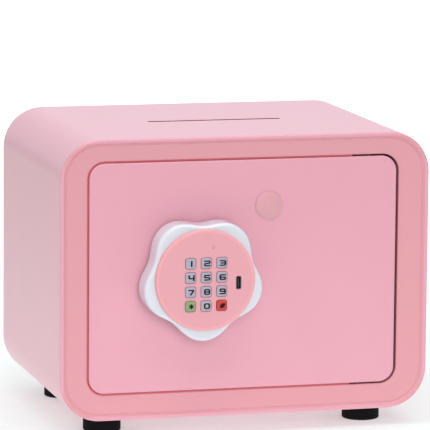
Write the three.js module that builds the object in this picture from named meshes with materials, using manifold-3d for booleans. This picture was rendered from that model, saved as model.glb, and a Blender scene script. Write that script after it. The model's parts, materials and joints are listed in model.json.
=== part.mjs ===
// Toy safe coin bank: a rounded steel money box on rubber feet, with a slot in its top and a hinged
// door that carries a petal-shaped keypad knob, two locking bolts, a solenoid and a spare key lock.
// Millimetres. +X is to the right, +Y to the back, +Z up, and the feet stand on Z = 0.
// The door is modelled shut with its bolts drawn, which is the state at rest.
import * as THREE from 'three';
import { mergeVertices } from 'three/addons/utils/BufferGeometryUtils.js';
import Module from 'manifold-3d';

const wasm = await Module();
wasm.setup();

// Clearances and stock
const fit = 0.3;             // between neighbouring pieces that touch or run on each other
const slack = 0.6;           // between a drive pin or rod and its slot or bore
const sheet = 1.5;           // steel sheet of the body, the frame and the door pan

// Facets round a circle, fewer where it is small or hidden
const large = 40;
const medium = 24;
const small = 12;
const tiny = 8;

// Body
const bodyWidth = 230;
const bodyHeight = 170.5;
const bodyDepth = 162;
const bodyCorner = 25;
const lipRadius = 2;         // outside radius of the rolled front lip
const lipWrap = 120;         // degrees through which the lip rolls inward
const backRecess = 1.2;      // back panel behind the rear edge of the tube
const backFlange = 9;

// Slot in the top, for notes and coins
const slotLength = 85;
const slotWidth = 5;
const slotCorner = 2;
const slotFromFront = 77;

// Feet
const footDiameter = 23;
const footHeight = 11;
const footFromSide = 32.7;
const footFromFront = 29;
const footFromBack = 26;
const footChamfer = 0.8;
const footScrewShank = 3.4;
const footScrewHead = 8;
const footScrewSink = 4;     // depth of the recess under the foot
const footScrewHeadHeight = 2.2;

// Felt mat on the floor of the safe
const matThickness = 2;
const matMargin = 2;
const matCorner = 6;

// Front frame and the doorway in it
const frameLeft = 16.9;
const frameRight = 19;
const frameTop = 13.6;
const frameBottom = 15.4;
const frameRecess = 1.2;     // frame face behind the crest of the lip
const frameDepth = 14;       // return flange round the doorway
const openingCorner = 10.5;

// Door
const doorRecess = 1;        // door face behind the crest of the lip
const doorThickness = 3;
const doorEdge = 0.8;
const gapLatch = 1;
const gapHinge = 1.6;
const gapRail = 1;           // above and below the door
const panInset = 8;
const panCorner = 4;
const panLip = 8;            // lip that the inner cover is screwed to
const hingeFromEdge = 16;
const hingeDepth = 6.5;      // hinge axis behind the door face
const hingePinDiameter = 4;
const hingeHeadDiameter = 6.2;
const hingeHeadHeight = 2;
const hingePinProud = 2;     // pin past the frame's flange

// Bolt work
const boltDiameter = 10;
const boltLength = 26;
const boltRestProud = 2;
const boltSpread = 25;       // each bolt above or below the knob axis
const boltClearance = 1;     // bolt behind the frame's flange
const boltSlotLength = 8;
const boltTipRound = 1.5;
const slideThickness = 2;
const slideTongue = 8;
const slideTall = 30;        // 2 height of the slide at the bolts
const slideTallRight = -8;   // where the tall part ends, from the knob axis
const slideRight = 24;
const slideBottom = -14;
const slideLand = 19;        // top of the land under the plunger
const slideArm = 10;
const studDiameter = 6;
const studX = -28;
const studZ = 16;
const studProud = 0.8;
const knobTurn = 72;         // degrees that throw the bolts
const camReach = 12;         // drive pin from the knob axis
const camHub = 9;
const camEye = 3.5;
const camThickness = 2;
const camGap = 0.5;
const pinDiameter = 3;

// Knob
const knobFromLatchEdge = 66.3;
const knobAboveMiddle = 0.9;
const knobGap = 2;           // door face to the back of the wheel
const knobFloat = 0.4;       // door face to the wheel's collar
const petalCount = 5;
const petalMean = 35.1;
const petalWave = 2.65;
const petalFullness = 0.2;   // widens the lobes and narrows the hollows between them
const wheelThickness = 16;
const wheelEdge = 2.5;
const wheelBackEdge = 0.6;
const wheelWall = 2.2;
const wheelHollow = 9.2;
const wheelRecess = 4.5;
const collarDiameter = 30;
const ribThickness = 1.4;
const spindleDiameter = 12;
const spindleBore = 6;
const spindleSquare = 8.2;
const spindleEngage = 7.7;   // spindle inside the wheel, past the wheel's back

// Keypad
const discDiameter = 61;
const discProud = 3.5;
const discEdge = 0.8;
const spigotDiameter = 58;
const housingWall = 1.8;
const boardThickness = 1.6;
const keySize = 6.4;
const keyCorner = 1.3;
const keyEdge = 0.5;
const keyProud = 0.6;
const keyTravel = 0.8;
const keyFlange = 0.5;       // flange past the window on each side, apart from the clearance
const keyFlangeThickness = 1;
const keyStem = 3;
const keyPitchX = 9.6;
const keyPitchZ = 8.6;
const keysFromAxis = 0.2;    // middle column from the knob axis
const keysTop = 10.4;        // top row above the knob axis
const usbWidth = 2.7;
const usbHeight = 7.5;
const usbCorner = 0.8;
const usbWall = 0.4;
const usbX = 20.3;
const usbZ = -2;
const usbTongue = 0.5;
const usbTongueHeight = 4.8;
const usbTongueSink = 1;
const usbBase = 1.2;

// Spare key lock and its cover
const lockFromKnob = 44.8;
const lockBelowDoorTop = 28;
const barrelDiameter = 12.4;
const barrelFlange = 18;
const barrelFlangeThickness = 2;
const barrelSink = 1.5;      // barrel face behind the door face
const plugDiameter = 8;
const keywayWidth = 1.6;
const keywayHeight = 6;
const keywayDepth = 14;
const flagReach = 20;
const flagHub = 6;
const flagTip = 4;
const flagThickness = 1.5;
const flagSquare = 4.4;
const flagGap = 1.3;
const flagRest = -45;        // degrees from straight down, towards the latch side; the key adds 90
const coverCapDiameter = 17;
const coverCapProud = 1.3;
const coverCapEdge = 0.8;

// Solenoid, plunger and return spring
const solenoidWidth = 12;
const solenoidDepth = 9.8;
const solenoidHeight = 20.5;
const solenoidCoil = 9;
const plungerDiameter = 4;
const plungerCollar = 11;
const plungerCollarThickness = 2;
const plungerLift = 2;
const plungerOffset = 5.5;   // plunger axis past the middle of the flag's tip
const plungerEngage = 12;
const landPast = 6;          // land past the plunger axis
const springWire = 0.7;
const springDiameter = 6.4;
const springTurns = 4;

// Inner cover, battery box and circuit board
const coverThickness = 1.5;
const coverScrewShank = 3;
const coverScrewHead = 6;
const coverScrewHeadHeight = 1.6;
const coverScrewInset = 5.5;
const coverScrewLength = 2.5; // thread past the cover
const cellDiameter = 14.2;
const cellLength = 49.5;
const cellNub = 5.5;
const cellNubHeight = 1;
const cellCount = 4;
const cellGap = 0.9;
const cellEndRoom = 1.2;
const trayWall = 1.5;
const traySaddle = 4;
const lidOverlap = 0.8;
const lidRidges = 3;
const lidRidgeLength = 18;
const lidRidgeThickness = 1.4;
const lidRidgePitch = 4;
const lidRidgeProud = 0.8;
const circuitGap = 3;         // circuit board above the battery box
const bossDiameter = 5;
const bossHeight = 6.4;
const bossInset = 4;
const resetDiameter = 5;
const resetFlange = 8;
const resetFlangeThickness = 1;
const resetProud = 0.8;
const resetTravel = 1;

// Places on the body
const bodyBottom = footHeight;
const openingLeft = -bodyWidth / 2 + frameLeft;
const openingRight = bodyWidth / 2 - frameRight;
const openingBottom = bodyBottom + frameBottom;
const openingTop = bodyBottom + bodyHeight - frameTop;
const doorLeft = openingLeft + gapLatch;
const doorRight = openingRight - gapHinge;
const doorBottom = openingBottom + gapRail;
const doorTop = openingTop - gapRail;
const hingeX = doorRight - hingeFromEdge;
const knobX = doorLeft + knobFromLatchEdge;
const knobZ = (doorBottom + doorTop) / 2 + knobAboveMiddle;
const lockX = knobX + lockFromKnob;
const lockZ = doorTop - lockBelowDoorTop;

// Depths in the door, measured back from its face
const panFront = doorThickness + fit;
const boltDepth = frameRecess - doorRecess + frameDepth + boltClearance + boltDiameter / 2;
const slideFront = boltDepth - slideThickness / 2;
const slideBack = boltDepth + slideThickness / 2;
const camBack = slideFront - camGap;
const camFront = camBack - camThickness;
const panBack = boltDepth + boltDiameter / 2 + fit + sheet;
const coverFront = panBack + fit;
const coverBack = coverFront + coverThickness;
const flagFront = boltDepth + plungerDiameter / 2 + flagGap;
const flagBack = flagFront + flagThickness;
const barrelBack = flagFront - fit;

// Depths of the knob, in front of the door face and so below zero
const wheelBack = -knobGap;
const wheelFront = wheelBack - wheelThickness;
const recessFloor = wheelFront + wheelRecess;
const spindleFront = wheelBack - spindleEngage;
const housingFront = wheelFront - discProud;
const housingInside = housingFront + housingWall;
const boardBack = recessFloor - fit;
const boardFront = boardBack - boardThickness;
const keyFront = housingFront - keyProud;

// The origin is under the middle of the whole object, knob included
const knobReach = -keyFront - doorRecess;
const crestY = -(bodyDepth - knobReach) / 2;
const backY = crestY + bodyDepth;
const doorY = crestY + doorRecess;

// Outside faces of the door pan, and the inner edges of its lip
const panLeft = doorLeft + panInset;
const panRight = doorRight - panInset;
const panBottom = doorBottom + panInset;
const panTop = doorTop - panInset;
const lipRight = panRight - sheet - panLip;
const lipBottom = panBottom + sheet + panLip;
const lipTop = panTop - sheet - panLip;

// Finishes
const finish = (color, roughness, metalness = 0) =>
  new THREE.MeshStandardMaterial({ color, roughness, metalness });
const pinkPaint = () => finish(0xf0a8b8, 0.45);
const pinkPlastic = () => finish(0xf2aab4, 0.4);
const whitePlastic = () => finish(0xe9eef4, 0.25);
const greyPlastic = () => finish(0xbdb8c6, 0.5);
const blackPlastic = () => finish(0x18181a, 0.5);
const blackRubber = () => finish(0x101012, 0.8);
const steel = () => finish(0xb9bcc2, 0.35, 0.9);
const brass = () => finish(0xc9a45a, 0.35, 0.9);
const circuit = () => finish(0x1f6b3c, 0.5);
const felt = () => finish(0x9a9aa2, 0.95);

// Geometry helpers
const radians = THREE.MathUtils.degToRad;

function solidOf(shape) {
  if (!shape.isBufferGeometry) return shape;
  const bare = shape.clone();
  bare.deleteAttribute('normal');
  bare.deleteAttribute('uv');
  const merged = mergeVertices(bare);
  return new wasm.Manifold(new wasm.Mesh({
    numProp: 3,
    vertProperties: merged.attributes.position.array,
    triVerts: Uint32Array.from(merged.index.array),
  }));
}

function geometryOf(shape) {
  if (shape.isBufferGeometry) return shape;
  const mesh = shape.getMesh();
  const geometry = new THREE.BufferGeometry();
  geometry.setAttribute('position', new THREE.BufferAttribute(mesh.vertProperties, 3));
  geometry.setIndex(new THREE.BufferAttribute(mesh.triVerts, 1));
  geometry.computeVertexNormals();
  return geometry;
}

const join = (first, ...others) => others.reduce((sum, each) => sum.add(solidOf(each)), solidOf(first));
const cut = (first, ...tools) => tools.reduce((rest, each) => rest.subtract(solidOf(each)), solidOf(first));

function block(x0, x1, y0, y1, z0, z1) {
  return new THREE.BoxGeometry(x1 - x0, y1 - y0, z1 - z0)
    .translate((x0 + x1) / 2, (y0 + y1) / 2, (z0 + z1) / 2);
}

function rodX(diameter, x0, x1, y = 0, z = 0, sides = medium) {
  return new THREE.CylinderGeometry(diameter / 2, diameter / 2, x1 - x0, sides)
    .rotateZ(-Math.PI / 2).translate((x0 + x1) / 2, y, z);
}

function rodY(diameter, y0, y1, x = 0, z = 0, sides = medium) {
  return new THREE.CylinderGeometry(diameter / 2, diameter / 2, y1 - y0, sides)
    .translate(x, (y0 + y1) / 2, z);
}

function rodZ(diameter, z0, z1, x = 0, y = 0, sides = medium) {
  return new THREE.CylinderGeometry(diameter / 2, diameter / 2, z1 - z0, sides)
    .rotateX(Math.PI / 2).translate(x, y, (z0 + z1) / 2);
}

// A flat plate whose outline is drawn in X and Z, from depth y0 to depth y1
function plateY(outline, y0, y1, steps = 5) {
  const options = { depth: y1 - y0, bevelEnabled: false, curveSegments: steps };
  return new THREE.ExtrudeGeometry(outline, options).rotateX(Math.PI / 2).translate(0, y1, 0);
}

// A flat plate whose outline is drawn in X and Y, from height z0 to height z1
function plateZ(outline, z0, z1, steps = 6) {
  const options = { depth: z1 - z0, bevelEnabled: false, curveSegments: steps };
  return new THREE.ExtrudeGeometry(outline, options).translate(0, 0, z0);
}

// A round piece about the Y axis from [radius, y] points that run from back to front outside
function turnedY(profile, sides = medium) {
  return new THREE.LatheGeometry(profile.map(([r, y]) => new THREE.Vector2(r, y)).reverse(), sides);
}

// The same about the Z axis, from [radius, z] points that run upwards outside
function turnedZ(profile, sides = medium) {
  return new THREE.LatheGeometry(profile.map(([r, z]) => new THREE.Vector2(r, z)), sides)
    .rotateX(Math.PI / 2);
}

function roundedRect(left, right, bottom, top, corner, Kind = THREE.Shape) {
  const outline = new Kind();
  outline.absarc(right - corner, top - corner, corner, 0, Math.PI / 2);
  outline.absarc(left + corner, top - corner, corner, Math.PI / 2, Math.PI);
  outline.absarc(left + corner, bottom + corner, corner, Math.PI, 3 * Math.PI / 2);
  outline.absarc(right - corner, bottom + corner, corner, 3 * Math.PI / 2, 2 * Math.PI);
  return outline;
}

// Outline of a plate round two circles, the second at a distance and an angle from the first
function teardrop(hubRadius, tipRadius, reach, angle) {
  const spread = Math.acos((hubRadius - tipRadius) / reach);
  const outline = new THREE.Shape();
  outline.absarc(0, 0, hubRadius, angle + spread, angle - spread + 2 * Math.PI);
  outline.absarc(reach * Math.cos(angle), reach * Math.sin(angle), tipRadius, angle - spread, angle + spread);
  return outline;
}

// Points of a rounded rectangle in X and Z at depth y, anticlockwise seen from the front
function rectRing(left, right, bottom, top, corner, y, steps) {
  const points = [];
  const centres = [[right - corner, top - corner], [left + corner, top - corner],
    [left + corner, bottom + corner], [right - corner, bottom + corner]];
  centres.forEach(([x, z], quarter) => {
    for (let step = 0; step <= steps; step++) {
      const angle = (quarter + step / steps) * Math.PI / 2;
      points.push([x + corner * Math.cos(angle), y, z + corner * Math.sin(angle)]);
    }
  });
  return points;
}

// Points of the petal outline at depth y, drawn in by an inset; one lobe points straight down
function petalRing(inset, y, steps = 60) {
  const points = [];
  for (let step = 0; step < steps; step++) {
    const angle = 2 * Math.PI * step / steps;
    const phase = petalCount * (angle + Math.PI / 2);
    const radius = petalMean + petalWave * Math.cos(phase) - petalFullness * Math.cos(2 * phase) - inset;
    points.push([radius * Math.cos(angle), y, radius * Math.sin(angle)]);
  }
  return points;
}

// A closed skin through rings that run from back to front; its ends are flat, or join up
function loft(rings, joined = false) {
  const count = rings[0].length;
  const points = rings.flat();
  const faces = [];
  for (let i = 0; i < rings.length - (joined ? 0 : 1); i++) {
    const next = (i + 1) % rings.length;
    for (let j = 0; j < count; j++) {
      const k = (j + 1) % count;
      const [a, b] = [i * count + j, i * count + k];
      const [c, d] = [next * count + k, next * count + j];
      faces.push(a, b, c, a, c, d);
    }
  }
  if (!joined) {
    for (const [ring, first, turn] of [[rings[0], 0, -1], [rings.at(-1), (rings.length - 1) * count, 1]]) {
      const outline = ring.map(([x, , z]) => new THREE.Vector2(x, z));
      for (const [a, b, c] of THREE.ShapeUtils.triangulateShape(outline, [])) {
        if (turn > 0) faces.push(first + a, first + b, first + c);
        else faces.push(first + a, first + c, first + b);
      }
    }
  }
  const geometry = new THREE.BufferGeometry();
  geometry.setAttribute('position', new THREE.Float32BufferAttribute(points.flat(), 3));
  geometry.setIndex(faces);
  geometry.computeVertexNormals();
  return geometry;
}

// [inset, y] points of a rounded front edge, from the side to the face
function roundedEdge(radius, face, steps) {
  const points = [];
  for (let step = 0; step <= steps; step++) {
    const angle = step / steps * Math.PI / 2;
    points.push([radius * (1 - Math.cos(angle)), face + radius * (1 - Math.sin(angle))]);
  }
  return points;
}

const safe = new THREE.Group();
const door = new THREE.Group();
const knob = new THREE.Group();
const boltWork = new THREE.Group();
const keyLock = new THREE.Group();
door.position.set(0, doorY, 0);
knob.position.set(knobX, 0, knobZ);
boltWork.position.set(knobX, 0, knobZ);
keyLock.position.set(lockX, 0, lockZ);
safe.add(door);
door.add(knob, boltWork, keyLock);

function piece(parent, name, shape, material, place = [0, 0, 0]) {
  const mesh = new THREE.Mesh(geometryOf(shape), material);
  mesh.name = name;
  mesh.position.set(...place);
  parent.add(mesh);
  return mesh;
}

// Where the feet stand
const footX = bodyWidth / 2 - footFromSide;
const feet = [
  ['front_left', -footX, crestY + footFromFront],
  ['front_right', footX, crestY + footFromFront],
  ['rear_left', -footX, backY - footFromBack],
  ['rear_right', footX, backY - footFromBack],
];

// Body shell: one tube of sheet whose front edge is rolled inward into a round lip
function bodyShell() {
  const steps = 6;
  const lipSteps = 6;
  const ring = (inset, y) => rectRing(-bodyWidth / 2 + inset, bodyWidth / 2 - inset,
    bodyBottom + inset, bodyBottom + bodyHeight - inset, bodyCorner - inset, y, steps);
  const rings = [ring(0, backY)];
  const lip = (radius, step) => {
    const angle = radians(lipWrap) * step / lipSteps;
    return ring(lipRadius - radius * Math.cos(angle), crestY + lipRadius - radius * Math.sin(angle));
  };
  for (let step = 0; step <= lipSteps; step++) rings.push(lip(lipRadius, step));
  for (let step = lipSteps; step >= 0; step--) rings.push(lip(lipRadius - sheet, step));
  rings.push(ring(sheet, backY));
  const slotY = crestY + slotFromFront;
  const slot = roundedRect(-slotLength / 2, slotLength / 2,
    slotY - slotWidth / 2, slotY + slotWidth / 2, slotCorner);
  const top = bodyBottom + bodyHeight;
  const holes = feet.map(([, x, y]) =>
    rodZ(footScrewShank + 2 * fit, bodyBottom - sheet, bodyBottom + 2 * sheet, x, y, tiny));
  return cut(loft(rings, true), plateZ(slot, top - 2 * sheet, top + sheet, 3), ...holes);
}
piece(safe, 'body_shell', bodyShell(), pinkPaint());

// Back panel: a shallow tray let into the rear end of the tube
function backPanel() {
  const outline = (inset) => roundedRect(-bodyWidth / 2 + inset, bodyWidth / 2 - inset,
    bodyBottom + inset, bodyBottom + bodyHeight - inset, bodyCorner - inset);
  const rear = backY - backRecess;
  const outside = plateY(outline(sheet + fit), rear - backFlange, rear);
  const inside = plateY(outline(2 * sheet + fit), rear - backFlange - sheet, rear - sheet);
  return cut(outside, inside);
}
piece(safe, 'back_panel', backPanel(), pinkPaint());

// Front frame: a flat ring inside the lip, with a return flange round the doorway
function frontFrame() {
  const lipEnd = lipRadius * (1 - Math.cos(radians(lipWrap))) + fit;
  const face = roundedRect(-bodyWidth / 2 + lipEnd, bodyWidth / 2 - lipEnd,
    bodyBottom + lipEnd, bodyBottom + bodyHeight - lipEnd, bodyCorner - lipEnd);
  const doorway = (grow, Kind) => roundedRect(openingLeft - grow, openingRight + grow,
    openingBottom - grow, openingTop + grow, openingCorner + grow, Kind);
  face.holes.push(doorway(0, THREE.Path));
  const flange = doorway(sheet);
  flange.holes.push(doorway(0, THREE.Path));
  const front = crestY + frameRecess;
  const pinHole = (z0, z1) => rodZ(hingePinDiameter + 2 * fit, z0, z1, hingeX, doorY + hingeDepth, small);
  return cut(
    join(plateY(face, front, front + sheet), plateY(flange, front, front + frameDepth)),
    pinHole(openingTop - sheet, openingTop + 2 * sheet),
    pinHole(openingBottom - 2 * sheet, openingBottom + sheet),
  );
}
piece(safe, 'front_frame', frontFrame(), pinkPaint());

// Felt mat, laid on the flat part of the floor between the frame and the back panel
function floorMat() {
  const side = bodyWidth / 2 - bodyCorner;
  const front = crestY + frameRecess + frameDepth + matMargin;
  const rear = backY - backRecess - backFlange - matMargin;
  const floor = bodyBottom + sheet + fit;
  return plateZ(roundedRect(-side, side, front, rear, matCorner), floor, floor + matThickness, 4);
}
piece(safe, 'floor_mat', floorMat(), felt());

// Rubber feet, each with a sunk screw
function foot() {
  const radius = footDiameter / 2;
  const top = footHeight - fit;
  const hole = footScrewShank / 2 + fit;
  const sunk = footScrewHead / 2 + slack;
  return turnedZ([[sunk, 0], [radius - footChamfer, 0], [radius, footChamfer], [radius, top],
    [hole, top], [hole, footScrewSink], [sunk, footScrewSink], [sunk, 0]]);
}
function footScrew() {
  const seat = footScrewSink - fit;
  const shank = footScrewShank / 2;
  const head = footScrewHead / 2;
  const low = seat - footScrewHeadHeight;
  const bevel = footScrewHeadHeight / 2;
  return turnedZ([[0, low], [head - bevel, low], [head, seat - bevel],
    [head, seat], [shank, seat], [shank, footHeight + sheet], [0, footHeight + sheet]], tiny);
}
for (const [place, x, y] of feet) {
  piece(safe, `foot_${place}`, foot(), blackRubber(), [x, y, 0]);
  piece(safe, `foot_screw_${place}`, footScrew(), steel(), [x, y, 0]);
}

// Door plate with a softened front edge and two welded studs that guide the bolt slide
function doorPlate() {
  const ring = (inset, y) => rectRing(doorLeft + inset, doorRight - inset, doorBottom + inset,
    doorTop - inset, openingCorner - gapRail - inset, y, 6);
  const rings = [ring(0, doorThickness), ...roundedEdge(doorEdge, 0, 3).map(([inset, y]) => ring(inset, y))];
  const studs = [-studZ, studZ].map((z) =>
    rodY(studDiameter, doorThickness / 2, slideBack + studProud, knobX + studX, knobZ + z, small));
  const through = (diameter, x, z) => rodY(diameter, -doorThickness, 2 * doorThickness, x, z);
  return cut(join(loft(rings), ...studs),
    through(spindleDiameter + 2 * fit, knobX, knobZ),
    through(barrelDiameter + 2 * fit, lockX, lockZ));
}
piece(door, 'door_plate', doorPlate(), pinkPaint());

// Door pan: the folded box on the back of the plate that carries the works
const panOutline = (inset, corner) =>
  roundedRect(panLeft + inset, panRight - inset, panBottom + inset, panTop - inset, corner);
const screwPlaces = [
  ['upper_left', panLeft + coverScrewInset, panTop - coverScrewInset],
  ['upper_right', panRight - coverScrewInset, panTop - coverScrewInset],
  ['lower_left', panLeft + coverScrewInset, panBottom + coverScrewInset],
  ['lower_right', panRight - coverScrewInset, panBottom + coverScrewInset],
];
function doorPan() {
  const room = plateY(panOutline(sheet, panCorner - sheet), panFront - sheet, panBack - sheet, 3);
  const mouth = plateY(panOutline(sheet + panLip, sheet), panBack - 2 * sheet, panBack + sheet, 3);
  const boltHoles = [-boltSpread, boltSpread].map((z) =>
    rodX(boltDiameter + 2 * fit, panLeft - sheet, panLeft + 2 * sheet, boltDepth, knobZ + z));
  const pinHoles = [panBottom, panTop].map((z) =>
    rodZ(hingePinDiameter + 2 * fit, z - 2 * sheet, z + 2 * sheet, hingeX, hingeDepth, small));
  const screwHoles = screwPlaces.map(([, x, z]) =>
    rodY(coverScrewShank + 2 * fit, panBack - 2 * sheet, panBack + sheet, x, z, tiny));
  return cut(plateY(panOutline(0, panCorner), panFront, panBack, 3), room, mouth,
    ...boltHoles, ...pinHoles, ...screwHoles);
}
piece(door, 'door_pan', doorPan(), pinkPaint());

// Hinge pins, headed inside the pan and running in the frame's flange; the lower one is turned over
function hingePin() {
  const reach = fit + sheet + panInset + gapRail + sheet + hingePinProud;
  return join(rodZ(hingePinDiameter, -hingeHeadHeight, reach, 0, 0, small),
    rodZ(hingeHeadDiameter, -hingeHeadHeight, 0, 0, 0, small));
}
const pinSeat = sheet + fit;
piece(door, 'hinge_pin_top', hingePin(), steel(), [hingeX, hingeDepth, panTop - pinSeat]);
piece(door, 'hinge_pin_bottom', hingePin(), steel(), [hingeX, hingeDepth, panBottom + pinSeat])
  .rotateX(Math.PI);

// Bolt slide: the plate that the drive pin moves, with tongues that carry the bolts
const halfThrow = camReach * Math.sin(radians(knobTurn / 2));
const boltThrow = 2 * halfThrow;
const boltTip = panLeft - boltRestProud - knobX;
const boltEnd = boltTip + boltLength;
const plungerX = lockX - flagReach * Math.sin(radians(-flagRest)) - plungerOffset;

function boltSlide() {
  const left = boltEnd + fit;
  const armRight = plungerX - knobX + landPast;
  const outline = new THREE.Shape();
  const corners = [
    [left, -slideTall], [slideTallRight, -slideTall], [slideTallRight, slideBottom],
    [slideRight, slideBottom], [slideRight, slideLand - slideArm], [armRight, slideLand - slideArm],
    [armRight, slideLand], [slideTallRight, slideLand], [slideTallRight, slideTall], [left, slideTall],
  ];
  outline.setFromPoints(corners.map(([x, z]) => new THREE.Vector2(x, z)));
  const plate = plateY(outline, slideFront, slideBack);
  const tongues = [-boltSpread, boltSpread].map((z) => block(boltEnd - boltSlotLength + fit, left + sheet,
    slideFront, slideBack, z - slideTongue / 2, z + slideTongue / 2));
  const pinSlot = roundedRect(halfThrow - pinDiameter / 2 - slack, halfThrow + pinDiameter / 2 + slack,
    camReach * Math.cos(radians(knobTurn / 2)) - pinDiameter / 2 - slack,
    camReach + pinDiameter / 2 + slack, pinDiameter / 2);
  const guide = (z) => roundedRect(studX - studDiameter / 2 - fit,
    studX + boltThrow + studDiameter / 2 + fit, z - studDiameter / 2 - fit,
    z + studDiameter / 2 + fit, studDiameter / 2);
  const wires = roundedRect(-spindleBore / 2, boltThrow + spindleBore / 2,
    -spindleBore / 2, spindleBore / 2, spindleBore / 2 - fit);
  const through = (shape) => plateY(shape, slideFront - sheet, slideBack + sheet, 3);
  return cut(join(plate, ...tongues), through(pinSlot), through(guide(studZ)), through(guide(-studZ)),
    through(wires));
}
piece(boltWork, 'bolt_slide', boltSlide(), steel());

// Locking bolts, round with a softened tip and a slot that takes the slide's tongue
function lockingBolt() {
  const radius = boltDiameter / 2;
  const tip = boltTipRound;
  const body = turnedZ([[0, 0], [radius, 0], [radius, boltLength - tip], [radius - tip, boltLength],
    [0, boltLength]]).rotateY(-Math.PI / 2).translate(boltEnd, 0, 0);
  const slot = block(boltEnd - boltSlotLength, boltEnd + sheet, -slideThickness / 2 - fit,
    slideThickness / 2 + fit, -boltDiameter, boltDiameter);
  return cut(body, slot);
}
piece(boltWork, 'bolt_upper', lockingBolt(), steel(), [0, boltDepth, boltSpread]);
piece(boltWork, 'bolt_lower', lockingBolt(), steel(), [0, boltDepth, -boltSpread]);

// Spindle: a hollow shaft through the door, square at its inner end
function spindle() {
  const square = spindleSquare / 2;
  return cut(
    join(rodY(spindleDiameter, spindleFront, camFront - fit),
      block(-square, square, camFront - fit - sheet, camBack, -square, square)),
    rodY(spindleBore, spindleFront - sheet, camBack + sheet, 0, 0, small),
  );
}
piece(knob, 'spindle', spindle(), steel());

// Drive cam: a teardrop plate on the spindle's square, with the pin that moves the slide
function driveCam() {
  const angle = Math.PI / 2 - radians(knobTurn / 2);
  const hole = spindleSquare / 2 + fit;
  const plate = plateY(teardrop(camHub, camEye, camReach, angle), camFront, camBack, 7);
  const pin = rodY(pinDiameter, camBack - sheet, slideBack + fit,
    camReach * Math.cos(angle), camReach * Math.sin(angle), small);
  return cut(join(plate, pin), block(-hole, hole, camFront - sheet, camBack + sheet, -hole, hole));
}
piece(knob, 'drive_cam', driveCam(), steel());

// Petal wheel: a moulded grip, hollow at the back round a ribbed hub, with a recess for the keypad
function petalWheel() {
  const outside = loft([
    petalRing(wheelBackEdge, wheelBack), petalRing(0, wheelBack - wheelBackEdge),
    ...roundedEdge(wheelEdge, wheelFront, 3).map(([inset, y]) => petalRing(inset, y)),
  ]);
  const deep = wheelBack - wheelHollow;
  const hollow = loft([petalRing(wheelWall, wheelBack + sheet), petalRing(wheelWall, deep)]);
  const ribs = [];
  for (let petal = 0; petal < petalCount; petal++) {
    const turn = 2 * Math.PI * petal / petalCount;
    ribs.push(block(0, petalMean, deep - sheet, wheelBack, -ribThickness / 2, ribThickness / 2)
      .rotateY(turn + Math.PI / 2 - Math.PI / petalCount));
  }
  const hub = rodY(collarDiameter, deep - sheet, -knobFloat);
  return cut(join(cut(outside, cut(hollow, ...ribs)), hub),
    rodY(spindleDiameter + 2 * fit, spindleFront - fit, 0),
    rodY(spindleBore, wheelFront, 0, 0, 0, small),
    rodY(spigotDiameter + 2 * fit, wheelFront - sheet, recessFloor, 0, 0, large));
}
piece(knob, 'petal_wheel', petalWheel(), whitePlastic());

// Where the keys sit, from the knob axis
const keypad = ['1', '2', '3', '4', '5', '6', '7', '8', '9', 'star', '0', 'hash'].map((name, index) => ({
  name,
  x: keysFromAxis + (index % 3 - 1) * keyPitchX,
  z: keysTop - Math.floor(index / 3) * keyPitchZ,
}));
const squareRing = (size, corner, inset, y, steps = 2) => rectRing(-size / 2 + inset, size / 2 - inset,
  -size / 2 + inset, size / 2 - inset, corner - inset, y, steps);

// Keypad housing: a round cap with a spigot behind, windows for the keys and one for the socket
function keypadHousing() {
  const spigot = spigotDiameter / 2;
  const disc = discDiameter / 2;
  const seat = wheelFront - fit;
  const edge = roundedEdge(discEdge, housingFront, 3).map(([inset, y]) => [disc - inset, y]);
  const cap = turnedY([[0, housingInside], [spigot - housingWall, housingInside],
    [spigot - housingWall, boardBack], [spigot, boardBack], [spigot, seat], [disc, seat],
    ...edge, [0, housingFront]], large);
  const opening = keySize + 2 * fit;
  const windows = keypad.map(({ x, z }) => loft([
    squareRing(opening, keyCorner + fit, 0, housingInside + sheet),
    squareRing(opening, keyCorner + fit, 0, housingFront - sheet),
  ]).translate(x, 0, z));
  const socket = roundedRect(usbX - usbWidth / 2 - fit, usbX + usbWidth / 2 + fit,
    usbZ - usbHeight / 2 - fit, usbZ + usbHeight / 2 + fit, usbCorner + fit);
  return cut(cap, ...windows, plateY(socket, housingFront - sheet, housingInside + sheet, 3));
}
piece(knob, 'keypad_housing', keypadHousing(), pinkPlastic());

// Keypad board behind the keys
piece(knob, 'keypad_board',
  rodY(spigotDiameter - 2 * housingWall - 2 * fit, boardFront, boardBack), circuit());

// Micro USB socket on the board, open to the front with a tongue inside
function usbPort() {
  const outline = (inset) => roundedRect(-usbWidth / 2 + inset, usbWidth / 2 - inset,
    -usbHeight / 2 + inset, usbHeight / 2 - inset, usbCorner - inset);
  const back = boardFront - fit;
  const tongue = block(-usbTongue / 2, usbTongue / 2, housingFront + usbTongueSink, back - usbBase / 2,
    -usbTongueHeight / 2, usbTongueHeight / 2);
  return join(cut(plateY(outline(0), housingFront, back, 3),
    plateY(outline(usbWall), housingFront - sheet, back - usbBase, 3)), tongue);
}
piece(knob, 'usb_port', usbPort(), steel(), [usbX, 0, usbZ]);

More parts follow.
